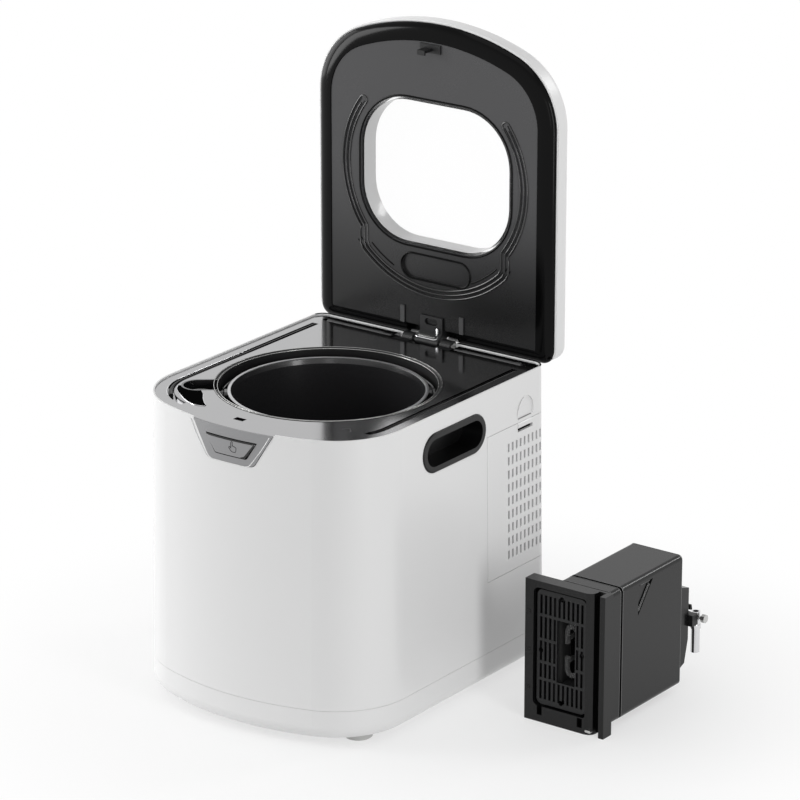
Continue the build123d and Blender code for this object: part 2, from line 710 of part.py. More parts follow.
# Bay of the cassette: a wide collar behind the door and a narrow channel behind the well
with BuildPart() as cassette_bay:
    with BuildSketch(facing_right(BAY_X0 - 1.6)):
        with Locations(((BAY_Y0 + BAY_Y1) / 2, 190.4)):
            Rectangle(BAY_Y1 - BAY_Y0 + 3.2, 149.0)
    extrude(amount=125.6 - BAY_X0)
    with BuildSketch(facing_right(119.0)):
        with Locations(((BAY_Y1 + 66.0) / 2, 193.0)):
            Rectangle(BAY_Y1 - 66.0 + 3.2, 155.2)
    extrude(amount=21.0)
    with BuildSketch(facing_right(BAY_X0)):
        with Locations(((BAY_Y0 + BAY_Y1) / 2, 190.3)):
            Rectangle(BAY_Y1 - BAY_Y0, 146.0)
    extrude(amount=250.0, mode=Mode.SUBTRACT)
    with BuildSketch(facing_right(120.6)):
        with Locations(((BAY_Y1 + 66.0) / 2, 193.0)):
            Rectangle(BAY_Y1 - 66.0, 152.0)
    extrude(amount=40.0, mode=Mode.SUBTRACT)
    loft([d_section(100.0, -WALL - 0.3), d_section(290.0, -WALL - 0.3)], ruled=True,
         mode=Mode.INTERSECT)
    # two runners on the channel's floor
    with BuildSketch(facing_right(BAY_X0)):
        with Locations((107.0, 118.3), (153.0, 118.3)):
            Rectangle(4.0, 2.0)
    extrude(amount=119.0 - BAY_X0)
cassette_bay.part.label = "cassette_bay"

# =============================================================================================
# Front button and lid latch
# =============================================================================================


def front_tab(top_half, foot_half, z_top, z_foot, corner, y0, y1):
    """Prism of a trapezoid that narrows downwards, between two depths; centred at X = 4."""
    with BuildPart(mode=Mode.PRIVATE) as tab:
        with BuildSketch(facing_front(y1, 4.0)):
            with BuildLine():
                Polyline((-top_half, z_top), (-foot_half, z_foot), (foot_half, z_foot),
                         (top_half, z_top), close=True)
            make_face()
            fillet(vertices().group_by(Axis.Y)[0], corner)
        extrude(amount=y1 - y0)
    return tab.part


# Silver bezel set into the shell's front
with BuildPart() as button_bezel:
    loft([d_section(275.0, 0.5), d_section(DECK_TOP, 0.5)], ruled=True)
    loft([d_section(275.0, -WALL), d_section(DECK_TOP, -WALL)], ruled=True, mode=Mode.SUBTRACT)
    add(front_tab(48.2, 26.7, DECK_TOP, 282.4, 8.8, -190.0, -120.0), mode=Mode.INTERSECT)
    with BuildSketch(level(DECK_Z)):
        with BuildLine():
            d_outline(-RIM - 0.2)
        make_face()
    extrude(amount=8.0, mode=Mode.SUBTRACT)
    add(front_tab(31.2, 19.2, 307.7, 288.9, 3.8, -190.0, -120.0), mode=Mode.SUBTRACT)
button_bezel.part.label = "button_bezel"

# Lid button
with BuildPart() as lid_button:
    loft([d_section(280.0, 1.5), d_section(315.0, 1.5)], ruled=True)
    add(front_tab(30.0, 18.0, 306.4, 290.2, 3.0, -190.0, -160.5), mode=Mode.INTERSECT)
    with BuildSketch(facing_front(-138.8, 4.0)):
        with Locations((0, 298.0)):
            Circle(3.0)
    extrude(amount=22.5)
lid_button.part.label = "lid_button"

# Cradle hung from the deck behind the button: a plate that guides the stem, and two cheeks
with BuildPart() as latch_cradle:
    with BuildSketch(facing_front(-147.0, 4.0)):
        with Locations((-4.0, 299.0)):
            Rectangle(34.0, 26.0)
        with Locations((0, 298.0)):
            Circle(3.4, mode=Mode.SUBTRACT)
    extrude(amount=3.0)
    with BuildSketch(level(286.0, 0.0, -137.5)):
        with Locations((-15.5, 0), (15.5, 0)):
            Rectangle(3.0, 25.0)
    extrude(amount=DECK_Z - 286.0)
latch_cradle.part.label = "latch_cradle"

# Hook that holds the lid's catch; the button's stem pushes it back
with BuildPart() as latch_hook:
    with BuildSketch(facing_front(-136.5)):
        with Locations((0, 299.5)):
            Rectangle(26.0, 21.0)
    extrude(amount=2.0)
    with BuildSketch(facing_front(-138.5, -5.0)):
        with Locations((0, 309.2)):
            Rectangle(10.0, 1.6)
    extrude(amount=2.6)
latch_hook.part.label = "latch_hook"

# Return spring round the button's stem
with BuildPart() as button_spring:
    coil_plane = Plane((MX + 4.0, MY - 159.8, 298.0), x_dir=(1, 0, 0), z_dir=(0, 1, 0))
    with BuildLine():
        coil = Helix(pitch=2.3, height=8.7, radius=4.4, center=coil_plane.origin,
                     direction=(0, 1, 0))
    with BuildSketch(Plane(origin=coil @ 0, z_dir=coil % 0)):
        Circle(0.45)
    sweep(is_frenet=True)
button_spring.part.label = "button_spring"

# =============================================================================================
# Hinge
# =============================================================================================

# Hinge block under the deck's rear edge: foot plate, body, two knuckles and a slot for the arm
with BuildPart() as hinge_base:
    with BuildSketch(facing_right(-37.8)):
        with Locations((152.8, 307.0)):
            Rectangle(13.2, 18.0)
        with Locations((155.6, 303.0)):
            Rectangle(18.8, 6.0)
    extrude(amount=75.6)
    for x in (-30.0, 17.4):
        with BuildSketch(facing_right(x)):
            with Locations((HINGE_Y, HINGE_Z)):
                Circle(6.8)
            with Locations((160.0, 308.0)):
                Rectangle(13.0, 13.0)
        extrude(amount=12.6)
    with BuildSketch(facing_right(-17.0)):
        with Locations((162.6, 319.5)):
            Rectangle(28.0, 26.0)
    extrude(amount=34.0, mode=Mode.SUBTRACT)
    for x in (-33.0, 30.0):
        with BuildSketch(facing_right(x)):
            with Locations((HINGE_Y, HINGE_Z)):
                Circle(5.2)
        extrude(amount=3.0, mode=Mode.SUBTRACT)
    with BuildSketch(facing_right(-40.0)):
        with Locations((HINGE_Y, HINGE_Z)):
            Circle(3.0)
    extrude(amount=80.0, mode=Mode.SUBTRACT)
hinge_base.part.label = "hinge_base"

# Hinge pin with a head at each end
with BuildPart() as hinge_pin:
    with BuildSketch(facing_right(-30.0)):
        with Locations((HINGE_Y, HINGE_Z)):
            Circle(3.0)
    extrude(amount=60.0)
    for x in (-31.6, 30.0):
        with BuildSketch(facing_right(x)):
            with Locations((HINGE_Y, HINGE_Z)):
                Circle(4.6)
        extrude(amount=1.6)
hinge_pin.part.label = "hinge_pin"

# Two torsion rods with end caps, lying in the deck's troughs
with BuildPart() as torsion_rods:
    for x0, x1 in ((-126.0, -40.5), (40.5, 126.0)):
        with BuildSketch(facing_right(x0)):
            with Locations((154.0, 316.0)):
                Circle(2.2)
        extrude(amount=x1 - x0)
        for cap in (x0, x1 - 6.0):
            with BuildSketch(facing_right(cap)):
                with Locations((154.0, 316.0)):
                    Circle(2.9)
            extrude(amount=6.0)
torsion_rods.part.label = "torsion_rods"

# Lid arm: plate on the lid's inner panel and an eye on the hinge axis
with BuildPart() as hinge_arm:
    with BuildSketch(facing_right(-14.0)):
        with Locations((HINGE_Y, HINGE_Z)):
            Circle(6.2)
        with BuildLine():
            Polyline((HINGE_Y - 3.4, HINGE_Z + 5.1), (HINGE_Y + 5.1, HINGE_Z - 3.4), (180.0, 321.0),
                     (180.0, 328.1), (170.0, 328.1), (170.0, 341.0), (168.2, 341.0),
                     (167.6, 324.5), close=True)
        make_face()
    extrude(amount=28.0)
    with BuildSketch(facing_right(-20.0)):
        with Locations((HINGE_Y, HINGE_Z)):
            Circle(3.06)
    extrude(amount=40.0, mode=Mode.SUBTRACT)
    with BuildSketch(facing_front(171.0, 0, 335.0)):
        SlotOverall(16.0, 7.0)
    extrude(amount=5.0, mode=Mode.SUBTRACT)
hinge_arm.part.label = "hinge_arm"

# =============================================================================================
# Lid, standing open
# =============================================================================================

# White outer shell with the window opening
with BuildPart() as lid_outer:
    with BuildSketch(facing_front(LID_Y + LID_DEPTH)):
        with BuildLine():
            lid_outline()
        make_face()
    extrude(amount=LID_DEPTH)
    fillet(lid_outer.faces().sort_by(Axis.Y)[-1].edges(), 9.0)
    with BuildSketch(facing_front(LID_Y + LID_DEPTH - 3.0)):
        with BuildLine():
            lid_outline(-2.4)
        make_face()
    extrude(amount=LID_DEPTH, mode=Mode.SUBTRACT)
    with BuildSketch(facing_front(230.0)):
        window_shape(4.0)
    extrude(amount=60.0, mode=Mode.SUBTRACT)
    # notch for the hinge arm in the lower edge
    with BuildSketch(facing_front(184.0, 0, 316.0)):
        Rectangle(30.0, 12.0)
    extrude(amount=20.0, mode=Mode.SUBTRACT)
lid_outer.part.label = "lid_outer"

# Black inner panel: base plate, rear skirt and a raised field with the window opening and grooves
with BuildPart() as lid_inner:
    with BuildSketch(facing_front(186.0)):
        with BuildLine():
            lid_outline(-2.4)
        make_face()
    extrude(amount=6.0)
    with BuildSketch(facing_front(LID_Y + LID_DEPTH - 3.0)):
        with BuildLine():
            lid_outline(-2.4)
        make_face()
        with BuildLine():
            lid_outline(-4.6)
        make_face(mode=Mode.SUBTRACT)
    extrude(amount=LID_DEPTH - 3.0 - 8.7)
    with BuildSketch(facing_front(180.0)):
        with BuildLine():
            lid_outline(-20.4, low=LID_LOW - 8.2)
        make_face()
    extrude(amount=180.0 - PANEL_Y)
    with BuildSketch(facing_front(190.0)):
        with BuildLine():
            lid_outline(-24.4, low=LID_LOW - 8.2)
        make_face()
        window_shape(2.6, Mode.SUBTRACT)
    extrude(amount=190.0 - PANEL_Y - 4.0, mode=Mode.SUBTRACT)
    with BuildSketch(facing_front(230.0)):
        window_shape()
    extrude(amount=60.0, mode=Mode.SUBTRACT)
    # crescents beside the window and arcs below it
    with BuildSketch(facing_front(PANEL_Y + 1.0, 1.6, 490.0)):
        for r, w, spans in ((107.6, 1.8, ((-37.0, 74.0), (143.0, 74.0))),
                            (112.2, 1.8, ((-37.0, 74.0), (143.0, 74.0))),
                            (121.0, 1.8, ((221.0, 98.0),)), (125.6, 1.8, ((221.0, 98.0),))):
            for start, span in spans:
                with BuildLine():
                    CenterArc((0, 0), r, start, span)
                    CenterArc((0, 0), r + w, start, span)
                    for a in (start, start + span):
                        Line((r * cos(radians(a)), r * sin(radians(a))),
                             ((r + w) * cos(radians(a)), (r + w) * sin(radians(a))))
                make_face()
    extrude(amount=4.0, mode=Mode.SUBTRACT)
    # oval pocket under the window
    with BuildSketch(facing_front(PANEL_Y + 2.4, 4.0, 391.0)):
        SlotOverall(84.0, 25.0)
    extrude(amount=8.0, mode=Mode.SUBTRACT)
lid_inner.part.label = "lid_inner"

# Rounded gasket between the rim and the panel; along the hinge it also covers the rim
with BuildPart() as lid_gasket:
    with BuildSketch(facing_front(180.0)):
        with BuildLine():
            lid_outline(-2.6)
        make_face()
    extrude(amount=2.8)
    loft([lid_section(177.2, -2.6, 312.6), lid_section(173.6, -3.8, 312.6),
          lid_section(171.2, -8.0, 311.8), lid_section(169.6, -14.0, 310.4),
          lid_section(169.2, -19.0, 308.8)], ruled=True)
    with BuildSketch(facing_front(185.0)):
        with BuildLine():
            lid_outline(-19.8, low=LID_LOW - 8.0)
        make_face()
        with Locations((0, 314.0)):
            Rectangle(64.0, 30.0)
    extrude(amount=40.0, mode=Mode.SUBTRACT)
lid_gasket.part.label = "lid_gasket"

# Clear window: pane with a collar that lines the opening
with BuildPart() as lid_window:
    with BuildSketch(facing_front(LID_Y + LID_DEPTH - 0.6)):
        window_shape(3.8)
    extrude(amount=3.0)
    with BuildSketch(facing_front(LID_Y + LID_DEPTH - 3.6)):
        window_shape()
    extrude(amount=LID_Y + LID_DEPTH - 3.6 - PANEL_Y - 1.5)
    with BuildSketch(facing_front(LID_Y + LID_DEPTH - 3.0)):
        window_shape(-2.4)
    extrude(amount=30.0, mode=Mode.SUBTRACT)
lid_window.part.label = "lid_window"

# Catch at the lid's free edge
with BuildPart() as lid_catch:
    with BuildSketch(facing_front(PANEL_Y, -2.5, 623.0)):
        Rectangle(25.0, 9.0)
    extrude(amount=1.6)
    with BuildSketch(facing_front(PANEL_Y - 1.0, -5.0, 622.0)):
        Rectangle(9.0, 3.0)
    extrude(amount=PANEL_Y - 1.0 - 156.0)
    with BuildSketch(facing_front(158.0, -5.0, 620.0)):
        Rectangle(9.0, 3.0)
    extrude(amount=2.0)
lid_catch.part.label = "lid_catch"

# Two ribs on the panel beside the hinge
with BuildPart() as lid_ribs:
    with BuildSketch(facing_front(PANEL_Y)):
        with Locations((-37.0, 337.5), (37.0, 337.5)):
            Rectangle(5.0, 18.0)
    extrude(amount=1.5)
lid_ribs.part.label = "lid_ribs"

# Silver link clip on the hinge arm
with BuildPart() as hinge_clip:
    with BuildSketch(facing_right(-12.0)):
        with BuildLine():
            Polyline((167.55, 324.7), (167.72, 329.5), (166.1, 329.5), (165.9, 324.7), close=True)
        make_face()
    extrude(amount=24.0)
hinge_clip.part.label = "hinge_clip"

# =============================================================================================
# Air-cleaning cassette, standing beside the machine
# =============================================================================================

# Flange frame: plate with the drawer opening, a cove and a channel at its right side
with BuildPart() as cassette_flange:
    with BuildSketch(Plane((QX, QY, 0))):
        with BuildLine():
            Polyline((0, 0), (72.0, 0), (76.0, 1.2), (79.0, 4.2), (80.0, 8.0), (80.0, 12.0),
                     (88.0, 12.0), (88.0, 0.5), (FL_W, 0.5), (FL_W, FL_T), (0, FL_T), close=True)
        make_face()
    extrude(amount=FL_H)
    with BuildSketch(on_cassette(12.0)):
        with Locations((41.0, 80.0)):
            RectangleRounded(62.0, 126.0, 6.0)
    extrude(amount=20.0, mode=Mode.SUBTRACT)
    with BuildSketch(on_cassette(20.0)):
        with Locations((51.75, 80.0)):
            RectangleRounded(40.5, 126.0, 3.0)
    extrude(amount=40.0, mode=Mode.SUBTRACT)
    with BuildSketch(on_cassette(-5.0)):
        with Locations((18.0, 12.5), (66.0, 11.0)):
            Rectangle(6.0, 10.0)
    extrude(amount=-12.0, mode=Mode.SUBTRACT)
cassette_flange.part.label = "cassette_flange"

# Case: collar and main box with rounded long edges, open at the front for the drawer
with BuildPart() as cassette_case:
    with BuildSketch(on_cassette(CASE_Y1)):
        with Locations((CASE_X0 + CASE_W / 2, (CASE_Z0 + CASE_Z1) / 2)):
            RectangleRounded(CASE_W, CASE_Z1 - CASE_Z0, 5.0)
    extrude(amount=CASE_Y1 - 38.0)
    with BuildSketch(on_cassette(38.0)):
        with Locations((CASE_X0 + CASE_W / 2, (CASE_Z0 + CASE_Z1) / 2)):
            RectangleRounded(CASE_W - 4.0, CASE_Z1 - CASE_Z0 - 4.0, 4.0)
    extrude(amount=3.0)
    with BuildSketch(on_cassette(35.0)):
        with Locations((CASE_X0 + CASE_W / 2, (CASE_Z0 + CASE_Z1) / 2)):
            RectangleRounded(CASE_W, CASE_Z1 - CASE_Z0, 5.0)
    extrude(amount=15.0)
    with BuildSketch(on_cassette(20.0)):
        with Locations((CASE_X0 + CASE_W / 2, (CASE_Z0 + CASE_Z1) / 2)):
            RectangleRounded(CASE_W - 4.0, CASE_Z1 - CASE_Z0 - 4.0, 4.0)
    extrude(amount=20.0 - FL_T)
    with BuildSketch(on_cassette(CASE_Y1 - 3.0)):
        with Locations((CASE_X0 + CASE_W / 2, (CASE_Z0 + CASE_Z1) / 2)):
            RectangleRounded(CASE_W - 6.0, CASE_Z1 - CASE_Z0 - 6.0, 3.0)
    extrude(amount=200.0, mode=Mode.SUBTRACT)
    # triangular recess with a slanted slot on the right side
    with BuildSketch(Plane((QX + CASE_X0 + CASE_W, QY, 0), x_dir=(0, 1, 0), z_dir=(1, 0, 0))):
        with BuildLine():
            Polyline((66.0, 109.0), (92.0, 141.0), (66.0, 141.0), close=True)
        make_face()
    extrude(amount=-1.6, mode=Mode.SUBTRACT)
    # outlet to the rear block
    with BuildSketch(on_cassette(CASE_Y1 + 5.0)):
        with Locations((CASE_X0 + 31.0, 70.0)):
            Circle(20.0)
    extrude(amount=20.0, mode=Mode.SUBTRACT)
cassette_case.part.label = "cassette_case"

# Filter drawer: grille front with slots, holes and a middle window, and a tray behind it
with BuildPart() as filter_drawer:
    with BuildSketch(on_cassette(6.0)):
        with Locations((41.6, 79.6)):
            RectangleRounded(58.0, 122.0, 6.0)
    extrude(amount=3.0)
    with BuildSketch(on_cassette(10.0)):
        with Locations((41.6, 79.6)):
            with GridLocations(5.4, 0, 10, 1):
                with Locations((0, 45.5)):
                    Rectangle(2.8, 20.0)
                with Locations((0, 21.0)):
                    Rectangle(2.8, 23.0)
                with Locations((0, -4.0)):
                    Rectangle(2.8, 21.0)
                with Locations((0, -25.0)):
                    Rectangle(2.8, 15.0)
                with Locations((0, -45.5)):
                    Rectangle(2.8, 20.0)
        with Locations((41.6, 135.0), (41.6, 24.5), (17.3, 76.0), (65.9, 81.0)):
            Circle(2.7)
        with Locations((47.0, 79.0)):
            Rectangle(21.6, 66.0)
    extrude(amount=10.0, mode=Mode.SUBTRACT)
    for x in (33.1, 68.0):
        with BuildSketch(on_cassette(26.0, x, 79.6)):
            Rectangle(2.0, 110.0)
        extrude(amount=20.5)
filter_drawer.part.label = "filter_drawer"

# Carbon block carried between the drawer's cheeks
with BuildPart() as carbon_block:
    with BuildSketch(on_cassette(26.0)):
        with Locations((50.55, 79.6)):
            Rectangle(32.9, 108.0)
        with Locations((47.3, 79.0)):
            Rectangle(19.6, 72.0, mode=Mode.SUBTRACT)
    extrude(amount=17.0)
carbon_block.part.label = "carbon_block"

# Lamp holder on the case's rear wall side, and two glass U tubes that point to the front
with BuildPart() as lamp_holder:
    with BuildSketch(on_cassette(60.0)):
        with Locations((CASE_X0 + CASE_W / 2, 78.0)):
            Rectangle(CASE_W - 6.0, 104.0)
        with Locations((CASE_X0 + CASE_W / 2, 78.0)):
            with GridLocations(0, 92.0, 1, 2):
                Rectangle(40.0, 8.0, mode=Mode.SUBTRACT)
    extrude(amount=4.0)
    with BuildSketch(on_cassette(56.0)):
        with Locations((47.2, 90.0), (47.2, 66.0)):
            RectangleRounded(24.0, 12.0, 4.0)
    extrude(amount=8.0)
lamp_holder.part.label = "lamp_holder"

with BuildPart() as uv_lamps:
    for z, way in ((90.0, 1.0), (66.0, -1.0)):
        with BuildLine(on_cassette(14.4)):
            Line((41.2, z - 5.0 * way), (41.2, z + 8.0 * way))
            ThreePointArc((41.2, z + 8.0 * way), (47.2, z + 14.0 * way), (53.2, z + 8.0 * way))
            Line((53.2, z + 8.0 * way), (53.2, z - 5.0 * way))
        with BuildSketch(Plane((QX + 41.2, QY + 14.4, z - 5.0 * way), z_dir=(0, 0, way))):
            Circle(2.4)
        sweep()
        for x in (41.2, 53.2):
            with BuildSketch(on_cassette(48.0, x, z)):
                Circle(2.2)
            extrude(amount=48.0 - 14.4)
uv_lamps.part.label = "uv_lamps"

# Fan: square frame with a round duct and three spokes, and a rotor with seven blades
FAN_X, FAN_Z = CASE_X0 + CASE_W / 2, 78.0
with BuildPart() as fan_frame:
    with BuildSketch(on_cassette(104.0)):
        with Locations((FAN_X, FAN_Z)):
            Rectangle(CASE_W - 6.0, 56.0)
            Circle(26.0, mode=Mode.SUBTRACT)
    extrude(amount=18.0)
    with BuildSketch(on_cassette(104.0)):
        with Locations((FAN_X, FAN_Z)):
            Circle(9.0)
            with PolarLocations(17.0, 3, start_angle=90):
                Rectangle(19.0, 3.0)
    extrude(amount=2.0)
    with BuildSketch(on_cassette(102.0)):
        with Locations((FAN_X, FAN_Z)):
            Circle(1.5)
    extrude(amount=12.0)
fan_frame.part.label = "fan_frame"

with BuildPart() as fan_rotor:
    with BuildSketch(on_cassette(101.5)):
        with Locations((FAN_X, FAN_Z)):
            Circle(10.0)
            Circle(1.56, mode=Mode.SUBTRACT)
    extrude(amount=12.0)
    for i in range(7):
        a, pitch = radians(360.0 / 7 * i), radians(28.0)
        blade = Plane((QX + FAN_X, QY + 95.5, FAN_Z), x_dir=(cos(a), 0, sin(a)),
                      z_dir=(-sin(a) * sin(pitch), -cos(pitch), cos(a) * sin(pitch)))
        with BuildSketch(blade):
            with Locations((16.6, 0)):
                Rectangle(15.4, 8.0)
        extrude(amount=0.7, both=True)
fan_rotor.part.label = "fan_rotor"

# Carbon-side baffle plate between the lamps and the fan
with BuildPart() as fan_baffle:
    with BuildSketch(on_cassette(106.0)):
        with Locations((FAN_X, FAN_Z)):
            RectangleRounded(CASE_W - 6.0, CASE_Z1 - CASE_Z0 - 6.0, 3.2)
            Circle(22.0, mode=Mode.SUBTRACT)
    extrude(amount=2.0)
fan_baffle.part.label = "fan_baffle"

# Rear block with a chamfered lower edge, and its outlet valve
with BuildPart() as rear_block:
    with BuildSketch(Plane((QX + CASE_X0 + 4.0, QY, 0), x_dir=(0, 1, 0), z_dir=(1, 0, 0))):
        with BuildLine():
            Polyline((CASE_Y1, 20.0), (CASE_Y1 + 14.0, 26.0), (CASE_Y1 + 20.0, 50.0),
                     (CASE_Y1 + 20.0, 106.0), (CASE_Y1, 112.0), close=True)
        make_face()
    extrude(amount=CASE_W - 8.0)
    with BuildSketch(on_cassette(CASE_Y1 + 16.0)):
        with Locations((CASE_X0 + 31.0, 70.0)):
            Circle(18.0)
    extrude(amount=40.0, mode=Mode.SUBTRACT)
rear_block.part.label = "rear_block"

with BuildPart() as valve_bracket:
    with BuildSketch(on_cassette(CASE_Y1 + 30.0)):
        with Locations((84.0, 70.0)):
            Rectangle(14.0, 12.0)
    extrude(amount=10.0)
    with BuildSketch(Plane((QX + 86.0, QY + CASE_Y1 + 34.0, 56.0))):
        Circle(5.6)
    extrude(amount=30.0, mode=Mode.SUBTRACT)
valve_bracket.part.label = "valve_bracket"

with BuildPart() as valve_tube:
    with BuildSketch(Plane((QX + 86.0, QY + CASE_Y1 + 34.0, 32.0))):
        Circle(4.6)
        Circle(3.0, mode=Mode.SUBTRACT)
    extrude(amount=44.0)
    with BuildSketch(Plane((QX + 86.0, QY + CASE_Y1 + 34.0, 58.0))):
        Circle(5.6)
        Circle(4.6, mode=Mode.SUBTRACT)
    extrude(amount=4.0)
valve_tube.part.label = "valve_tube"

with BuildPart() as valve_screw:
    with BuildSketch(Plane((QX + 80.0, QY + CASE_Y1 + 26.6, 76.0))):
        Circle(1.6)
    extrude(amount=4.0)
    with BuildSketch(Plane((QX + 80.0, QY + CASE_Y1 + 26.6, 80.0))):
        SlotOverall(12.0, 3.4)
    extrude(amount=5.0, taper=8)
valve_screw.part.label = "valve_screw"

with BuildPart() as valve_knob:
    with BuildSketch(Plane((QX + 91.6, QY + CASE_Y1 + 34.0, 70.0), x_dir=(0, 1, 0),
                           z_dir=(1, 0, 0))):
        Circle(2.0)
    extrude(amount=3.0)
    with BuildSketch(Plane((QX + 94.0, QY + CASE_Y1 + 34.0, 70.0), x_dir=(0, 1, 0),
                           z_dir=(1, 0, 0))):
        RegularPolygon(4.6, 8)
    extrude(amount=4.0)
valve_knob.part.label = "valve_knob"

# Three screws in the flange's left margin
with BuildPart() as flange_screws:
    with BuildSketch(on_cassette(0.0)):
        with Locations((4.6, 115.0), (4.6, 78.0), (4.6, 38.0)):
            Circle(2.0)
    extrude(amount=1.0)
flange_screws.part.label = "flange_screws"

# ---- one file for each piece ----------------------------------------------------------------
export_step(base_tray.part, "parts/base_tray.step")
export_step(feet.part, "parts/feet.step")
export_step(body_shell.part, "parts/body_shell.step")
export_step(deck.part, "parts/deck.step")
export_step(deck_seal.part, "parts/deck_seal.step")
export_step(bail_pocket.part, "parts/bail_pocket.step")
export_step(well_liner.part, "parts/well_liner.step")
export_step(heater_plate.part, "parts/heater_plate.step")
export_step(bucket.part, "parts/bucket.step")
export_step(bail_handle.part, "parts/bail_handle.step")
export_step(agitator.part, "parts/agitator.step")
export_step(drive_plate.part, "parts/drive_plate.step")
export_step(plate_screws.part, "parts/plate_screws.step")
export_step(motor.part, "parts/motor.step")
export_step(pinion.part, "parts/pinion.step")
export_step(drive_wheel.part, "parts/drive_wheel.step")
export_step(gear_cover.part, "parts/gear_cover.step")
export_step(drive_coupling.part, "parts/drive_coupling.step")
export_step(control_board.part, "parts/control_board.step")
export_step(power_inlet.part, "parts/power_inlet.step")
export_step(grip_right.part, "parts/grip_right.step")
export_step(grip_left.part, "parts/grip_left.step")
export_step(side_door.part, "parts/side_door.step")
export_step(door_latch.part, "parts/door_latch.step")
export_step(cassette_bay.part, "parts/cassette_bay.step")
export_step(button_bezel.part, "parts/button_bezel.step")
export_step(lid_button.part, "parts/lid_button.step")
export_step(latch_cradle.part, "parts/latch_cradle.step")
export_step(latch_hook.part, "parts/latch_hook.step")
export_step(button_spring.part, "parts/button_spring.step")
export_step(hinge_base.part, "parts/hinge_base.step")
export_step(hinge_pin.part, "parts/hinge_pin.step")
export_step(torsion_rods.part, "parts/torsion_rods.step")
export_step(hinge_arm.part, "parts/hinge_arm.step")
export_step(lid_outer.part, "parts/lid_outer.step")
export_step(lid_inner.part, "parts/lid_inner.step")
export_step(lid_gasket.part, "parts/lid_gasket.step")
export_step(lid_window.part, "parts/lid_window.step")
export_step(lid_catch.part, "parts/lid_catch.step")
export_step(lid_ribs.part, "parts/lid_ribs.step")
export_step(hinge_clip.part, "parts/hinge_clip.step")
export_step(cassette_flange.part, "parts/cassette_flange.step")
export_step(cassette_case.part, "parts/cassette_case.step")
export_step(filter_drawer.part, "parts/filter_drawer.step")
export_step(carbon_block.part, "parts/carbon_block.step")
export_step(lamp_holder.part, "parts/lamp_holder.step")
export_step(uv_lamps.part, "parts/uv_lamps.step")
export_step(fan_frame.part, "parts/fan_frame.step")
export_step(fan_rotor.part, "parts/fan_rotor.step")
export_step(fan_baffle.part, "parts/fan_baffle.step")
export_step(rear_block.part, "parts/rear_block.step")
export_step(valve_bracket.part, "parts/valve_bracket.step")
export_step(valve_tube.part, "parts/valve_tube.step")
export_step(valve_screw.part, "parts/valve_screw.step")
export_step(valve_knob.part, "parts/valve_knob.step")
export_step(flange_screws.part, "parts/flange_screws.step")
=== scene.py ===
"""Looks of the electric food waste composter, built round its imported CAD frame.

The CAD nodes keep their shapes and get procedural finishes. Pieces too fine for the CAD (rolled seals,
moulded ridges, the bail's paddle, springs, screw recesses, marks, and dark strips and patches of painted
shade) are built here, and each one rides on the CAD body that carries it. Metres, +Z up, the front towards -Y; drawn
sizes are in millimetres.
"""

import json
import logging
from dataclasses import dataclass
from enum import Enum
from functools import partial
from math import acos, atan2, cos, degrees, pi, radians, sin, sqrt
from typing import Callable, Iterable, Optional, Sequence, Union

import bmesh
import bpy
from bpy.types import ID, Material, Mesh, NodeSocket, NodeTree, Object
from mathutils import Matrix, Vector


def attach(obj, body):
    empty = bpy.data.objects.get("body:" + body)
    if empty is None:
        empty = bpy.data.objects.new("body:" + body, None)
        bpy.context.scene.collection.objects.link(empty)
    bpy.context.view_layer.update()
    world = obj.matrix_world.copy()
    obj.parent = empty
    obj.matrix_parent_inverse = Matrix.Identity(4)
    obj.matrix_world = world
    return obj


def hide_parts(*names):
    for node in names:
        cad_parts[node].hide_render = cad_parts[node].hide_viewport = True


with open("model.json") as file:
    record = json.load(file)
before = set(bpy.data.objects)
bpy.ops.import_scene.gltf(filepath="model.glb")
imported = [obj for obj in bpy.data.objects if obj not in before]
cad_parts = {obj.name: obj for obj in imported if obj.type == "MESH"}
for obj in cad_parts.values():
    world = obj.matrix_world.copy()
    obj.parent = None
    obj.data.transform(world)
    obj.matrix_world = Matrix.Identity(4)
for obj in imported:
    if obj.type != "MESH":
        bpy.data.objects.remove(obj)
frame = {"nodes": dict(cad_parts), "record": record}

LOG = logging.getLogger("composter")
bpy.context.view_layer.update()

# The machine's footprint middle and the cassette's flange corner in the row's frame, in metres
MACHINE = Vector((-0.0840, -0.01985, 0.0))
CASSETTE = Vector((0.1330, 0.00715, 0.0))
ORIGIN = Vector((0.0, 0.0, 0.0))
MM = 0.001

Pair = tuple[float, float]
Triple = tuple[float, float, float]
Ring = list[Vector]
Recipe = Callable[["Socket"], "Socket"]
Key = Union[str, int]
Number = Union["Socket", float]
Value = Union["Socket", float, Sequence[float], ID, None]

RIGHT: Triple = (1.0, 0.0, 0.0)
BACK: Triple = (0.0, 1.0, 0.0)
UP: Triple = (0.0, 0.0, 1.0)


# --- Shader arithmetic ---


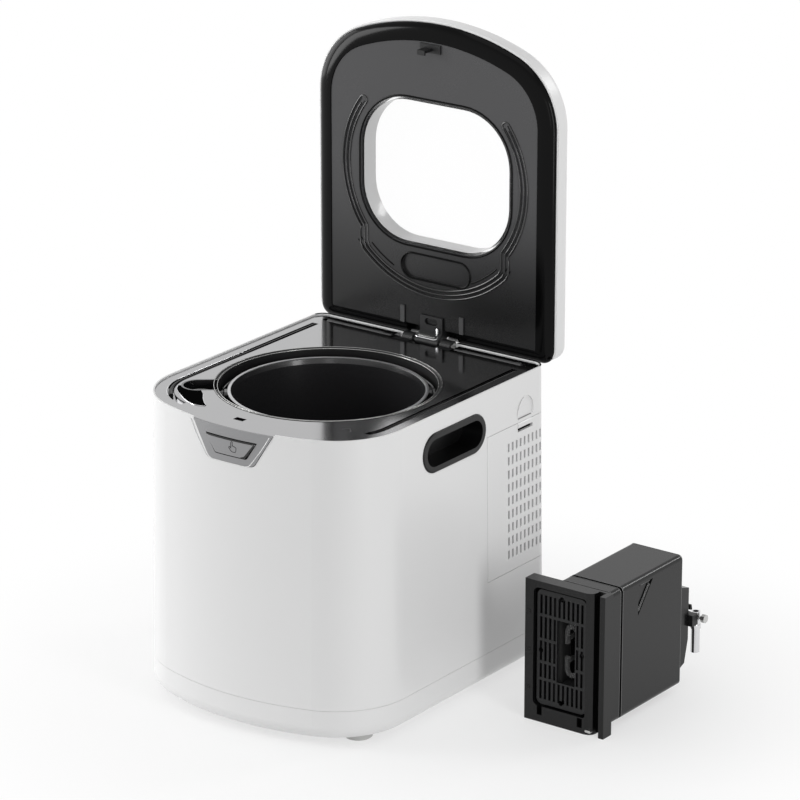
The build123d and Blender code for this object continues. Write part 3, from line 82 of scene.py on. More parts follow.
class Socket:
    """A node output that can be written in sums, so that shader maths reads as maths."""

    def __init__(self, tree: NodeTree, output: NodeSocket) -> None:
        """Wraps one output of a tree's node."""
        self.tree = tree
        self.output = output

    def peer(self, name: str) -> "Socket":
        """Returns another output of the same node."""
        return Socket(self.tree, self.output.node.outputs[name])

    def _maths(self, operation: str, *values: Number) -> "Socket":
        """Adds one Math node on the given values."""
        return add_node(self.tree, "ShaderNodeMath", dict(enumerate(values)), operation=operation)

    def __add__(self, other: Number) -> "Socket":
        """Returns the sum."""
        return self._maths("ADD", self, other)

    __radd__ = __add__

    def __rsub__(self, other: float) -> "Socket":
        """Returns a number less this value."""
        return self._maths("SUBTRACT", other, self)

    def __mul__(self, other: Number) -> "Socket":
        """Returns the product."""
        return self._maths("MULTIPLY", self, other)

    __rmul__ = __mul__

    def __pow__(self, other: float) -> "Socket":
        """Returns the power."""
        return self._maths("POWER", self, other)

    def most(self, other: Number) -> "Socket":
        """Returns the larger of the two values."""
        return self._maths("MAXIMUM", self, other)

    def ramp(self, low: float, high: float) -> "Socket":
        """Returns a smooth step.

        Args:
            low: The value at which the step starts from 0.
            high: The value at which it reaches 1.

        Returns:
            The stepped value.
        """
        values = {"Value": self, "From Min": low, "From Max": high}
        return add_node(self.tree, "ShaderNodeMapRange", values, "Result", interpolation_type="SMOOTHSTEP")


def add_node(tree: NodeTree, kind: str, values: Optional[dict[Key, Value]] = None, output: Key = 0,
             **settings: str) -> Socket:
    """Adds one node to a tree.

    Args:
        tree: The shader or geometry tree.
        kind: The node's type name.
        values: A constant or a link for each named or numbered input.
        output: The output to return.
        **settings: The node's own settings, which are set before its sockets.

    Returns:
        The chosen output.
    """
    node = tree.nodes.new(kind)
    for key, setting in settings.items():
        setattr(node, key, setting)
    for key, value in (values or {}).items():
        target = node.inputs[key]
        if isinstance(value, Socket):
            tree.links.new(value.output, target)
        elif isinstance(value, tuple) and len(value) < len(target.default_value):
            target.default_value = (*value, 1.0)
        else:
            target.default_value = value
    return Socket(tree, node.outputs[output] if node.outputs else None)


def ray_kinds(tree: NodeTree) -> tuple[Socket, Socket, Socket]:
    """Returns whether a ray comes from the camera, from a glossy face and through a clear piece."""
    seen = add_node(tree, "ShaderNodeLightPath", output="Is Camera Ray")
    return seen, seen.peer("Is Glossy Ray"), seen.peer("Is Transmission Ray")


class ShaderBench:
    """Builds one material's node tree on Object coordinates."""

    def __init__(self, name: str) -> None:
        """Starts an empty material."""
        self.material = bpy.data.materials.new(name)
        self.material.use_nodes = True
        self.tree = self.material.node_tree
        self.tree.nodes.clear()
        self.node = partial(add_node, self.tree)
        self.place = self.node("ShaderNodeTexCoord", output="Object")

    def split(self) -> tuple[Socket, Socket, Socket]:
        """Returns the X, Y and Z of the shaded point."""
        x = self.node("ShaderNodeSeparateXYZ", {0: self.place})
        return x, x.peer("Y"), x.peer("Z")

    def noise(self, size: float, detail: float = 3.0, stretch: Triple = (1.0, 1.0, 1.0)) -> Socket:
        """Returns fractal noise from 0 to 1.

        Args:
            size: The width of its largest grains, in millimetres.
            detail: The number of octaves.
            stretch: How many times longer a grain is along X, Y and Z.

        Returns:
            The noise value.
        """
        scale = tuple(1.0 / (size * MM * s) for s in stretch)
        where = self.node("ShaderNodeMapping", {"Vector": self.place, "Scale": scale})
        return self.node("ShaderNodeTexNoise", {"Vector": where, "Scale": 1.0, "Detail": detail}, "Fac")

    def cells(self, size: float) -> Socket:
        """Returns the distance to the nearest of many scattered points, `size` millimetres apart."""
        return self.node("ShaderNodeTexVoronoi", {"Vector": self.place, "Scale": 1.0 / (size * MM)}, "Distance")

    def blend(self, low: Value, high: Value, share: Value) -> Socket:
        """Returns a colour between `low` and `high`."""
        return self.node("ShaderNodeMix", {0: share, 6: low, 7: high}, 2, data_type="RGBA")

    def bump(self, height: Socket, depth: float) -> Socket:
        """Returns a normal raised by `height`, which is `depth` micrometres for a value of 1."""
        return self.node("ShaderNodeBump", {"Strength": 1.0, "Distance": depth * MM * MM, "Height": height})

    def surface(self, **inputs: Value) -> Socket:
        """Makes the Principled shader; an argument's underscores stand for spaces."""
        values = {key.replace("_", " "): value for key, value in inputs.items()}
        return self.node("ShaderNodeBsdfPrincipled", values)

    def mixed(self, share: Socket, one: Socket, two: Socket) -> Material:
        """Ends the tree on a mix of two shaders; `share` is the second one's part."""
        return self.finish(self.node("ShaderNodeMixShader", {0: share, 1: one, 2: two}))

    def finish(self, shader: Socket) -> Material:
        """Ends the tree on `shader` and returns the material."""
        self.node("ShaderNodeOutputMaterial", {"Surface": shader})
        return self.material


# --- Finishes ---


class Kind(Enum):
    """The node recipes of the opaque finishes."""

    MOULDED = "moulded"
    LACQUER = "lacquer"
    METAL = "metal"
    RUBBER = "rubber"


@dataclass(frozen=True)
class Finish:
    """What one opaque finish looks like.

    Attributes:
        kind: The node recipe.
        colour: Linear base colour.
        rough: Mean roughness.
        grain: Width of the surface grain in millimetres.
        depth: Height of that grain in micrometres.
        drift: How far the colour drifts over the piece, as a share of it.
        coat: Clear coat weight.
        metallic: Metallic share.
        soft: Roughness of the clear coat.
        shine: Strength of the plain reflection.
        fade: Painted light: how much paler the colour is painted towards the lid's free end, as a multiple of it.
    """

    kind: Kind
    colour: Triple
    rough: float
    grain: float
    depth: float
    drift: float
    coat: float = 0.0
    metallic: float = 0.0
    soft: float = 0.08
    shine: float = 0.5
    fade: float = 0.0


FINISHES: dict[str, Finish] = {
    "shell_white": Finish(Kind.MOULDED, (0.8, 0.8, 0.8), 0.34, 2, 6, 0.012, coat=0.5, soft=0.26),
    "deck_silver": Finish(Kind.LACQUER, (0.4, 0.4, 0.405), 0.1, 0.35, 2, 0.04, metallic=1.0),
    "bezel_grey": Finish(Kind.LACQUER, (0.27, 0.27, 0.275), 0.33, 0.35, 4, 0.05, metallic=0.85),
    "black_satin": Finish(Kind.MOULDED, (0.009, 0.009, 0.0095), 0.4, 0.7, 12, 0.10, shine=0.34),
    # painted light: the lid panel's colour is painted paler towards its top, standing in for brighter reflections there
    "panel_black": Finish(Kind.MOULDED, (0.003, 0.003, 0.0031), 0.27, 0.6, 3, 0.08, shine=0.38, fade=20.0),
    "black_gloss": Finish(Kind.MOULDED, (0.006, 0.006, 0.0065), 0.1, 3, 4, 0.05, coat=0.6),
    "seal_black": Finish(Kind.RUBBER, (0.002, 0.002, 0.0021), 0.13, 1.2, 2, 0.10, shine=0.10),
    "foot_rubber": Finish(Kind.RUBBER, (0.5, 0.5, 0.49), 0.62, 1.2, 20, 0.06),
    "pan_coating": Finish(Kind.MOULDED, (0.016, 0.016, 0.017), 0.24, 0.4, 10, 0.15, coat=0.3),
    "steel": Finish(Kind.METAL, (0.55, 0.55, 0.54), 0.26, 0.4, 4, 0.05, metallic=1.0),
    "screw_dark": Finish(Kind.METAL, (0.035, 0.035, 0.035), 0.34, 0.6, 4, 0.05, metallic=1.0),
    "bright_metal": Finish(Kind.METAL, (0.7, 0.7, 0.71), 0.1, 2, 2, 0.02, metallic=1.0),
    "aluminium": Finish(Kind.METAL, (0.62, 0.62, 0.63), 0.34, 0.5, 6, 0.05, metallic=1.0),
    "grey_resin": Finish(Kind.MOULDED, (0.2, 0.2, 0.205), 0.46, 0.8, 12, 0.06),
    "case_black": Finish(Kind.MOULDED, (0.0045, 0.0045, 0.0047), 0.25, 0.7, 6, 0.10, shine=0.30),
    "edge_gloss": Finish(Kind.MOULDED, (0.02, 0.02, 0.0205), 0.14, 3, 2, 0.05, coat=1.0, shine=1.0),
    "collar_pale": Finish(Kind.MOULDED, (0.6, 0.6, 0.6), 0.2, 2, 3, 0.03, coat=0.3),
    "mesh_grey": Finish(Kind.MOULDED, (0.34, 0.34, 0.34), 0.6, 1, 10, 0.04),
    # partly painted shade: a darker black than the satin parts, so that the grip hollows read deeper
    "grip_black": Finish(Kind.MOULDED, (0.004, 0.004, 0.0042), 0.3, 0.7, 8, 0.10, shine=0.28),
    "carbon": Finish(Kind.RUBBER, (0.012, 0.012, 0.012), 0.85, 2.2, 350, 0.30),
    "board_green": Finish(Kind.MOULDED, (0.012, 0.085, 0.03), 0.35, 1.2, 10, 0.20, coat=0.3),
    # a dark grey for prints, ribs and rods, also laid as painted shade along the latch recess
    "mark_dark": Finish(Kind.MOULDED, (0.045, 0.045, 0.046), 0.45, 1, 4, 0.05),
    # painted shade: the near-black of the strip laid along the button's gap
    "hollow_dark": Finish(Kind.RUBBER, (0.006, 0.006, 0.006), 0.7, 1, 4, 0.05),
    # painted shade: a matt black with no reflection, laid flat where a recess's depth would fall in shade
    "recess_black": Finish(Kind.RUBBER, (0.003, 0.003, 0.0031), 0.8, 1.2, 2, 0.05, shine=0.0),
}

# How much each clear finish reflects face on and at its edges
CLEAR: dict[str, Pair] = {"window_clear": (0.01, 0.30), "lamp_glass": (0.07, 0.90)}

# Between these heights in metres a finish with painted top light turns to its paler, painted lit colour
PAINTED_LIGHT_SPAN = (0.33, 0.50)

# Where a node's finish isn't the one its record slot names
NODE_FINISH: dict[str, str] = {
    "lid_inner": "panel_black",
    "button_bezel": "bezel_grey",
    "lid_button": "bezel_grey",
    "bail_pocket": "black_gloss",
    # the grips get the darker black, partly black moulding and partly painted shade in their hollows
    "grip_right": "grip_black",
    "grip_left": "grip_black",
    "lid_ribs": "mark_dark",
    "cassette_case": "case_black",
    "cassette_flange": "case_black",
    "rear_block": "case_black",
}


class Finisher:
    """Makes each finish once and gives it to pieces."""

    def __init__(self) -> None:
        """Starts with no finish made."""
        self.made: dict[str, Material] = {}

    def get(self, name: str) -> Material:
        """Returns the material of the named finish, made on first use."""
        if name not in self.made:
            self.made[name] = self._clear(name) if name in CLEAR else self._solid(name)
        return self.made[name]

    def _solid(self, name: str) -> Material:
        """Builds an opaque finish: drifting colour, uneven gloss, a fine grain and, where set, painted light that makes
        it paler higher up.
        """
        look = FINISHES[name]
        bench = ShaderBench(name)
        broad = bench.noise(90.0, 2.0)
        fine = bench.noise(look.grain, 4.0)
        shade = tuple(c * (1.0 - look.drift) for c in look.colour)
        light = tuple(min(c * (1.0 + look.drift), 1.0) for c in look.colour)
        colour = bench.blend(shade, light, broad * 0.7 + fine * 0.3)
        # painted light: the colour turns paler with height, towards the lid's free end
        if look.fade:
            pale = tuple(c * (1.0 + look.fade) for c in look.colour)
            colour = bench.blend(colour, pale, bench.split()[2].ramp(*PAINTED_LIGHT_SPAN))
        gloss = look.rough * (0.86 + 0.20 * broad + 0.10 * fine)
        if look.kind is Kind.METAL:
            drawn = bench.noise(look.grain, stretch=(14.0, 14.0, 1.0))
            height = drawn * 0.8 + fine * 0.2
            gloss = gloss * (0.85 + 0.3 * drawn)
        elif look.kind is Kind.LACQUER:
            flakes = bench.cells(look.grain).ramp(0.15, 0.6)
            colour = bench.blend(colour, light, flakes * 0.35)
            gloss = gloss * (0.9 + 0.2 * flakes)
            height = fine
        elif look.kind is Kind.RUBBER:
            height = fine * 0.6 + bench.cells(look.grain * 1.4) * 0.4
        else:
            height = bench.cells(look.grain) * 0.55 + fine * 0.45
        return bench.finish(bench.surface(
            Base_Color=colour, Roughness=gloss, Metallic=look.metallic, Coat_Weight=look.coat,
            Coat_Roughness=look.soft, Specular_IOR_Level=look.shine, Normal=bench.bump(height, look.depth)))

    def _clear(self, name: str) -> Material:
        """Builds clear plastic or glass as a thin film: see-through face on, brighter at its edges."""
        bench = ShaderBench(name)
        rim = bench.node("ShaderNodeLayerWeight", {"Blend": 0.35}, "Facing")
        haze = bench.noise(4.0)
        body = bench.surface(Base_Color=(0.92, 0.92, 0.92), Roughness=0.04 + haze * 0.03, IOR=1.49)
        see = bench.node("ShaderNodeBsdfTransparent", {"Color": (1.0, 1.0, 1.0)})
        weak, strong = CLEAR[name]
        return bench.mixed((rim ** 3.0) * (strong - weak) + weak, see, body)


FINISHER = Finisher()


def dress_nodes() -> None:
    """Gives every CAD node its procedural finish."""
    slots = {part["node"]: part["material_slot"] for part in frame["record"]["subparts"]}
    for name, obj in frame["nodes"].items():
        obj.data.materials.clear()
        obj.data.materials.append(FINISHER.get(NODE_FINISH.get(name, slots[name])))
    LOG.info("dressed %d nodes", len(slots))


# --- Outlines and planes ---


@dataclass(frozen=True)
class Flat:
    """A plane to draw on: a point is `across` and `up` in it, and `out` of it. Millimetres in, metres out.

    Attributes:
        base: The corner of the row's frame that the sizes start from, in metres.
        origin: The plane's own origin from that corner, in millimetres.
        across: The direction of the first size.
        up: The direction of the second size.
    """

    base: Vector
    origin: Triple = (0.0, 0.0, 0.0)
    across: Triple = RIGHT
    up: Triple = UP

    def at(self, u: float, v: float, out: float = 0.0) -> Vector:
        """Returns the point in metres."""
        across, up = Vector(self.across), Vector(self.up)
        place = Vector(self.origin) + across * u + up * v + across.cross(up) * out
        return self.base + place * MM

    def lift(self, ring: Iterable[Pair], out: float = 0.0) -> Ring:
        """Returns a drawn ring of points, raised out of the plane."""
        return [self.at(u, v, out) for u, v in ring]


def arc(x: float, y: float, r: float, start: float, end: float, steps: int) -> list[Pair]:
    """Returns points along an arc, both ends included; the angles are in degrees."""
    turns = (radians(start + (end - start) * i / steps) for i in range(steps + 1))
    return [(x + r * cos(a), y + r * sin(a)) for a in turns]


@dataclass(frozen=True)
class RoundBox:
    """A rectangle with round corners; a stadium or a circle where the radius is half a side."""

    width: float
    height: float
    radius: float
    x: float = 0.0
    y: float = 0.0

    def ring(self, grow: float = 0.0, steps: int = 8) -> list[Pair]:
        """Returns the closed outline, counter-clockwise, moved outwards by `grow`."""
        r = max(self.radius + grow, 0.01)
        a, b = self.width / 2 + grow - r, self.height / 2 + grow - r
        points: list[Pair] = []
        for quarter, (sx, sy) in enumerate(((1, 1), (-1, 1), (-1, -1), (1, -1))):
            points += arc(self.x + sx * a, self.y + sy * b, r, 90.0 * quarter, 90.0 * quarter + 90.0, steps)
        return points


@dataclass(frozen=True)
class DeeShape:
    """The outline that the deck and the lid share: bowed tip, big corners, straight sides, small back corners."""

    half: float
    foot: float
    tip: float
    bow: float = 270.0
    corner: float = 79.0
    back: float = 14.0

    def ring(self, grow: float, steps: int) -> list[Pair]:
        """Returns the closed outline, counter-clockwise from the right end of the bow, moved outwards."""
        half, foot, tip = self.half + grow, self.foot - grow, self.tip + grow
        bow, corner, back = self.bow + grow, self.corner + grow, max(self.back + grow, 2.0)
        cy, kx = tip - bow, half - corner
        ky = cy + sqrt((bow - corner) ** 2 - kx ** 2)
        bend = degrees(atan2(ky - cy, kx))
        points = arc(0.0, cy, bow, bend, 180.0 - bend, 2 * steps)
        points += arc(-kx, ky, corner, 180.0 - bend, 180.0, steps)[1:]
        points += arc(back - half, foot + back, back, 180.0, 270.0, steps)
        points += arc(half - back, foot + back, back, 270.0, 360.0, steps)
        points += arc(kx, ky, corner, 0.0, bend, steps)[:-1]
        return points


# --- Meshes ---


class Form:
    """Builds one mesh from rings of points."""

    def __init__(self) -> None:
        """Starts an empty mesh."""
        self.mesh = bmesh.new()

    def skin(self, rings: Sequence[Ring], around: bool = True, loop: bool = False) -> "Form":
        """Joins neighbouring rings with faces.

        Args:
            rings: Rings with the same number of points.
            around: Whether each ring is closed.
            loop: Whether the last ring joins the first one; if not, both are filled.

        Returns:
            The form.
        """
        verts = [[self.mesh.verts.new(p) for p in ring] for ring in rings]
        count = len(rings[0])
        for i in range(len(verts) if loop else len(verts) - 1):
            one, two = verts[i], verts[(i + 1) % len(verts)]
            for j in range(count if around else count - 1):
                k = (j + 1) % count
                self.mesh.faces.new((one[j], one[k], two[k], two[j]))
        if not loop:
            self.mesh.faces.new(list(reversed(verts[0])))
            self.mesh.faces.new(verts[-1])
        elif not around:
            self.mesh.faces.new([ring[0] for ring in verts])
            self.mesh.faces.new([ring[-1] for ring in reversed(verts)])
        return self

    def slab(self, flat: Flat, shape: RoundBox, layers: Sequence[Pair], steps: int = 8) -> "Form":
        """Adds a solid from one outline; each layer is how far it grows and how far out it lies."""
        return self.skin([flat.lift(shape.ring(grow, steps), out) for grow, out in layers])

    def turn(self, flat: Flat, profile: Sequence[Pair], steps: int, loop: bool = False) -> "Form":
        """Adds a solid turned about the plane's origin; the profile is radius and height out of the plane."""
        rings = [flat.lift(arc(0.0, 0.0, r, 0.0, 360.0 * (1 - 1 / steps), steps - 1), h) for r, h in profile]
        return self.skin(rings, loop=loop)

    def tube(self, path: Ring, sizes: Sequence[Pair], sides: int, up: Vector = Vector(UP)) -> "Form":
        """Adds a tube along an open path.

        Args:
            path: Points in metres.
            sizes: A half width and a half height for each point, in millimetres.
            sides: The number of points round it.
            up: The direction that the half height is measured along.

        Returns:
            The form.
        """
        rings = []
        for i, (point, (wide, high)) in enumerate(zip(path, sizes)):
            along = (path[min(i + 1, len(path) - 1)] - path[max(i - 1, 0)]).normalized()
            side = along.cross(up).normalized()
            top = side.cross(along)
            rings.append([point + (side * (wide * cos(a)) + top * (high * sin(a))) * MM
                          for a in (2 * pi * k / sides for k in range(sides))])
        return self.skin(rings)

    def build(self, name: str, finish: str, sharp: float = 40.0) -> Object:
        """Ends the form as an object of the scene.

        Args:
            name: The piece's name.
            finish: The finish it gets.
            sharp: The angle in degrees past which an edge is drawn sharp.

        Returns:
            The object.
        """
        bmesh.ops.remove_doubles(self.mesh, verts=self.mesh.verts, dist=0.000002)
        bmesh.ops.recalc_face_normals(self.mesh, faces=self.mesh.faces)
        data = bpy.data.meshes.new(name)
        self.mesh.to_mesh(data)
        self.mesh.free()
        return place_mesh(data, name, finish, sharp)


def add_object(name: str, data: ID) -> Object:
    """Puts an object with the given data into the scene."""
    thing = bpy.data.objects.new(name, data)
    bpy.context.scene.collection.objects.link(thing)
    return thing


def place_mesh(data: Mesh, name: str, finish: str, sharp: float) -> Object:
    """Puts a finished mesh into the scene with its finish and its sharp edges."""
    data.materials.clear()
    data.materials.append(FINISHER.get(finish))
    data.shade_smooth()
    data.set_sharp_from_angle(angle=radians(sharp))
    return add_object(name, data)


def seat(piece: Object, body: str, slot: str, *nodes: str) -> None:
    """Makes a piece ride on a body and hides the nodes it stands for."""
    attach(piece, body)
    if nodes:
        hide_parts(*nodes)
    LOG.info("%s rides on %s", piece.name, body)


class Repeats:
    """Geometry Nodes trees for what repeats or follows a path, one for each recipe."""

    KINDS = {float: "NodeSocketFloat", int: "NodeSocketInt", tuple: "NodeSocketVector",
             Object: "NodeSocketObject", Material: "NodeSocketMaterial"}

    def __init__(self) -> None:
        """Starts with no tree built."""
        self.trees: dict[Recipe, NodeTree] = {}

    def _tree(self, recipe: Recipe, values: dict[str, object]) -> NodeTree:
        """Builds the tree of a recipe.

        Args:
            recipe: Builds the nodes between the group's input and the realized result.
            values: The value of each input after the geometry, which tells its socket type.

        Returns:
            The tree.
        """
        tree = bpy.data.node_groups.new(recipe.__name__, "GeometryNodeTree")
        tree.interface.new_socket("Geometry", in_out="INPUT", socket_type="NodeSocketGeometry")
        for label, value in values.items():
            tree.interface.new_socket(label, in_out="INPUT", socket_type=self.KINDS[type(value)])
        tree.interface.new_socket("Geometry", in_out="OUTPUT", socket_type="NodeSocketGeometry")
        start = add_node(tree, "NodeGroupInput")
        real = add_node(tree, "GeometryNodeRealizeInstances", {0: recipe(start)})
        painted = add_node(tree, "GeometryNodeSetMaterial", {"Geometry": real, "Material": start.peer("Finish")})
        add_node(tree, "NodeGroupOutput", {0: painted})
        return tree

    def run(self, recipe: Recipe, name: str, finish: str, points: Ring, edges: Sequence[tuple[int, int]] = (),
            sharp: float = 50.0, **values: object) -> Object:
        """Evaluates a recipe on a mesh of points and edges.

        Args:
            recipe: The recipe, whose tree is built on first use.
            name: The piece's name.
            finish: Its finish.
            points: The mesh's points in metres.
            edges: The numbers of the points that each edge joins.
            sharp: The angle in degrees past which an edge is drawn sharp.
            **values: The recipe's inputs.

        Returns:
            The plain result.
        """
        values["Finish"] = FINISHER.get(finish)
        if recipe not in self.trees:
            self.trees[recipe] = self._tree(recipe, values)
        source = bpy.data.meshes.new(name + "_source")
        source.from_pydata(points, edges, [])
        holder = add_object(source.name, source)
        modifier = holder.modifiers.new("repeat", "NODES")
        modifier.node_group = self.trees[recipe]
        for item in modifier.node_group.interface.items_tree:
            if item.name in values:
                modifier[item.identifier] = values[item.name]
        data = bpy.data.meshes.new_from_object(holder.evaluated_get(bpy.context.evaluated_depsgraph_get()))
        data.name = name
        bpy.data.objects.remove(holder)
        return place_mesh(data, name, finish, sharp)


REPEATS = Repeats()


def sweep(curve: Socket, radius: Socket, sides: Union[Socket, int]) -> Socket:
    """Sweeps a circle along a curve and closes its ends."""
    circle = add_node(curve.tree, "GeometryNodeCurvePrimitiveCircle", {"Radius": radius, "Resolution": sides})
    return add_node(curve.tree, "GeometryNodeCurveToMesh", {"Curve": curve, "Profile Curve": circle, "Fill Caps": True})


def sweep_lines(start: Socket) -> Socket:
    """Sweeps a circle along every line of the source."""
    curve = add_node(start.tree, "GeometryNodeMeshToCurve", {"Mesh": start.peer("Geometry")})
    return sweep(curve, start.peer("Radius"), start.peer("Sides"))


def copy_to_points(start: Socket) -> Socket:
    """Puts the template on every point of the source."""
    pattern = add_node(start.tree, "GeometryNodeObjectInfo", {"Object": start.peer("Template")}, "Geometry")
    return add_node(start.tree, "GeometryNodeInstanceOnPoints",
                    {"Points": start.peer("Geometry"), "Instance": pattern})


def wind_coil(start: Socket) -> Socket:
    """Sweeps a wire along a spiral that runs towards +Y."""
    radius = start.peer("Radius")
    spiral = add_node(start.tree, "GeometryNodeCurveSpiral",
                      {"Resolution": 28, "Rotations": start.peer("Turns"), "Start Radius": radius,
                       "End Radius": radius, "Height": start.peer("Length")})
    return add_node(start.tree, "GeometryNodeTransform",
                    {"Geometry": sweep(spiral, start.peer("Wire"), 8), "Translation": start.peer("Start"),
                     "Rotation": (-pi / 2, 0.0, 0.0)})


def bead(name: str, finish: str, body: str, slot: str, radius: float, sides: int = 10, loops: Sequence[Ring] = (),
         paths: Sequence[Ring] = (), nodes: Sequence[str] = ()) -> None:
    """Makes round beads along lines of points, as one seated piece.

    Args:
        name: The piece's name.
        finish: Its finish.
        body: The body it rides on.
        slot: Not used; it is passed on to seat, which doesn't use it.
        radius: The bead's radius in millimetres.
        sides: The number of faces round it.
        loops: The lines that close on themselves.
        paths: The open ones.
        nodes: The CAD nodes that it stands for.
    """
    points, edges = [], []
    for line, closed in [(loop, True) for loop in loops] + [(path, False) for path in paths]:
        first, last = len(points), len(points) + len(line) - 1
        points += line
        edges += [(i, i + 1) for i in range(first, last)] + [(last, first)] * closed
    piece = REPEATS.run(sweep_lines, name, finish, points, edges, Radius=radius * MM, Sides=sides)
    seat(piece, body, slot, *nodes)


def scatter(name: str, finish: str, template: Object, places: Ring) -> Object:
    """Puts a copy of a template, which is then deleted, at each place."""
    piece = REPEATS.run(copy_to_points, name, finish, places, sharp=35.0, Template=template)
    bpy.data.objects.remove(template)
    return piece


def cross_screw(flat: Flat, head: float, height: float) -> Object:
    """Makes the template of a domed screw head with a cross recess.

    Args:
        flat: The plane that it sits on, about the row frame's origin.
        head: Its radius in millimetres.
        height: Its height in millimetres.

    Returns:
        The template object.
    """
    form = Form()
    mesh = form.mesh
    sides = 24
    profile = ((0.96, -0.2), (1.0, 0.05), (1.0, height * 0.45), (0.9, height * 0.8), (0.68, height))
    form.turn(flat, [(head * r, h) for r, h in profile], sides)
    top = [f for f in mesh.faces
           if len(f.verts) == sides and (f.calc_center_median() - flat.at(0.0, 0.0, height)).length < 1e-6]
    rim = [e for f in top for e in f.edges]
    bmesh.ops.delete(mesh, geom=top, context="FACES_ONLY")
    a, b = head * 0.13, head * 0.52  # half width and half length of the cross
    cross = [(b, -a), (b, a), (a, a), (a, b), (-a, b), (-a, a), (-b, a), (-b, -a), (-a, -a), (-a, -b), (a, -b), (a, -a)]
    high = [mesh.verts.new(p) for p in flat.lift(cross, height)]
    low = [mesh.verts.new(p) for p in flat.lift(cross, height * 0.35)]
    lip = [mesh.edges.new((high[i - 1], high[i])) for i in range(len(cross))]
    for i in range(len(cross)):
        mesh.faces.new((high[i - 1], high[i], low[i], low[i - 1]))
    mesh.faces.new(low)
    bmesh.ops.triangle_fill(mesh, edges=rim + lip, use_beauty=True)
    return form.build("screw_template", "steel", 25.0)


# --- Sub-assemblies, with sizes in millimetres ---


@dataclass
class LidDressing:
    """The standing lid's seal, rim, window lining, panel mouldings and hinge link; Z as it stands open."""

    rim_y: float = 177.3
    panel_y: float = 170.0
    outline: DeeShape = DeeShape(148.5, 316, 649.5, back=16)
    shoulder: float = 17.6
    swell: float = 8.1
    seal_outer: float = 2.4
    seal_inner: float = 20.2
    seal_back: float = -2.6
    seal_steps: int = 12
    foot_drop: float = 4.0
    rim_foot: float = 312.6
    notch: float = 32.0
    window: RoundBox = RoundBox(186, 154, 58, 3, 490.5)
    pocket: RoundBox = RoundBox(84, 25, 12.5, 4, 391)
    hub: Pair = (1.6, 490)
    ridge_end: float = 37.0
    ridge_r: float = 110.7
    ridge_gap: float = 4.5

    def panel(self, y: float) -> Flat:
        """Returns an upright plane of the lid that looks to the front."""
        return Flat(MACHINE, (0, y, 0))

    def build(self) -> None:
        """Makes the lid's pieces."""
        self.seal()
        self.rim()
        self.collar()
        self.mouldings()
        self.link()

    def rim(self) -> None:
        """Makes the fine white bead that runs round the shell's edge outside the seal."""
        rim = self.panel(self.rim_y).lift(self.outline.ring(-1.25, 24), 0.15)
        bead("lid_rim_bead", "shell_white", "lid", "shell_white", 0.6, loops=[rim])

    def collar(self) -> None:
        """Makes the pale lining inside the window's collar."""
        flat = self.panel(self.panel_y)
        layers = ((-2.5, -1.7), (-2.5, -21), (-2.9, -21), (-2.9, -2.4), (-2.7, -1.7))
        rings = [flat.lift(self.window.ring(grow, 14), out) for grow, out in layers]
        lining = Form().skin(rings, loop=True).build("window_collar_lining", "collar_pale", 30)
        seat(lining, "lid", "window_clear")

    def seal(self) -> None:
        """Makes the rolled shoulder between the white rim and the panel as one closed ring."""
        flat = self.panel(self.rim_y)
        outer = self.edge(self.seal_outer, self.outline.foot)
        rings = [flat.lift(outer, self.seal_back), flat.lift(outer, 0.05)]
        for i in range(self.seal_steps + 1):
            turn = radians(90 * i / self.seal_steps)
            inset = 2.5 + (self.shoulder - 0.1) * (1 - cos(turn))
            foot = self.rim_foot - self.foot_drop * (i / self.seal_steps) ** 2
            rings.append(flat.lift(self.edge(inset, foot), 0.1 + (self.swell - 0.1) * sin(turn)))
        inner = self.edge(self.seal_inner, foot)
        rings += [flat.lift(inner, self.swell - 0.9), flat.lift(inner, self.seal_back)]
        seal = Form().skin(rings, around=False, loop=True).build("lid_shoulder_seal", "seal_black", 60)
        seat(seal, "lid", "seal_black", "lid_gasket")

    def edge(self, inset: float, foot: float) -> list[Pair]:
        """Returns the lid's outline with its own foot, moved inwards and open where the hinge block stands."""
        ring = DeeShape(self.outline.half, foot, self.outline.tip, back=self.outline.back).ring(-inset, 18)
        low = foot + inset
        right = ring.index(next(p for p in ring if p[0] > 0 and abs(p[1] - low) < 0.01))
        return [(self.notch, low)] + ring[right:] + ring[:right] + [(-self.notch, low)]

    def mouldings(self) -> None:
        """Makes the ridges round the window, and the lips of the window and the pocket."""
        flat = self.panel(self.panel_y)
        hub = Flat(MACHINE, (self.hub[0], self.panel_y, self.hub[1]))
        ridges = []
        for side, low, drop, short in ((106.2, 119.9, 83.6, 0), (110.8, 124.4, 88, 2.5), (115.2, 128.9, 92.8, 0)):
            right = arc(0, 0, side, self.ridge_end - short, -self.ridge_end, 26)
            right += [(drop, right[-1][1] - 3.4), (drop, 3.2 - sqrt(low * low - drop * drop))]
            turn = degrees(acos(drop / low)) + 1.8
            left = [(-x, y) for x, y in reversed(right)]
            ridges.append(hub.lift(right + arc(0, 0, low, -turn, turn - 180, 40) + left, 0.25))
        end = radians(self.ridge_end)
        for sign in (1, -1):
            cap = [(self.ridge_r - x, y) for x, y in arc(0, 0, self.ridge_gap, 0, 180, 8)]
            ridges.append(hub.lift([(sign * (r * cos(end) - s * sin(end)),
                                     r * sin(end) + s * cos(end)) for r, s in cap], 0.25))
        bead("lid_panel_ridges", "black_gloss", "lid", "black_satin", 0.85, paths=ridges)
        lips = [flat.lift(self.window.ring(1.7, 12), 0.1), flat.lift(self.pocket.ring(1.1, 12), 0.15)]
        bead("lid_panel_lips", "seal_black", "lid", "black_satin", 1, loops=lips)
        fine = [hub.lift(arc(0, 0, 114.6, *ends, 14), 0.1) for ends in ((-47, -66), (-133, -116))]
        bead("lid_panel_fine_ridges", "seal_black", "lid", "black_satin", 0.7, paths=fine)

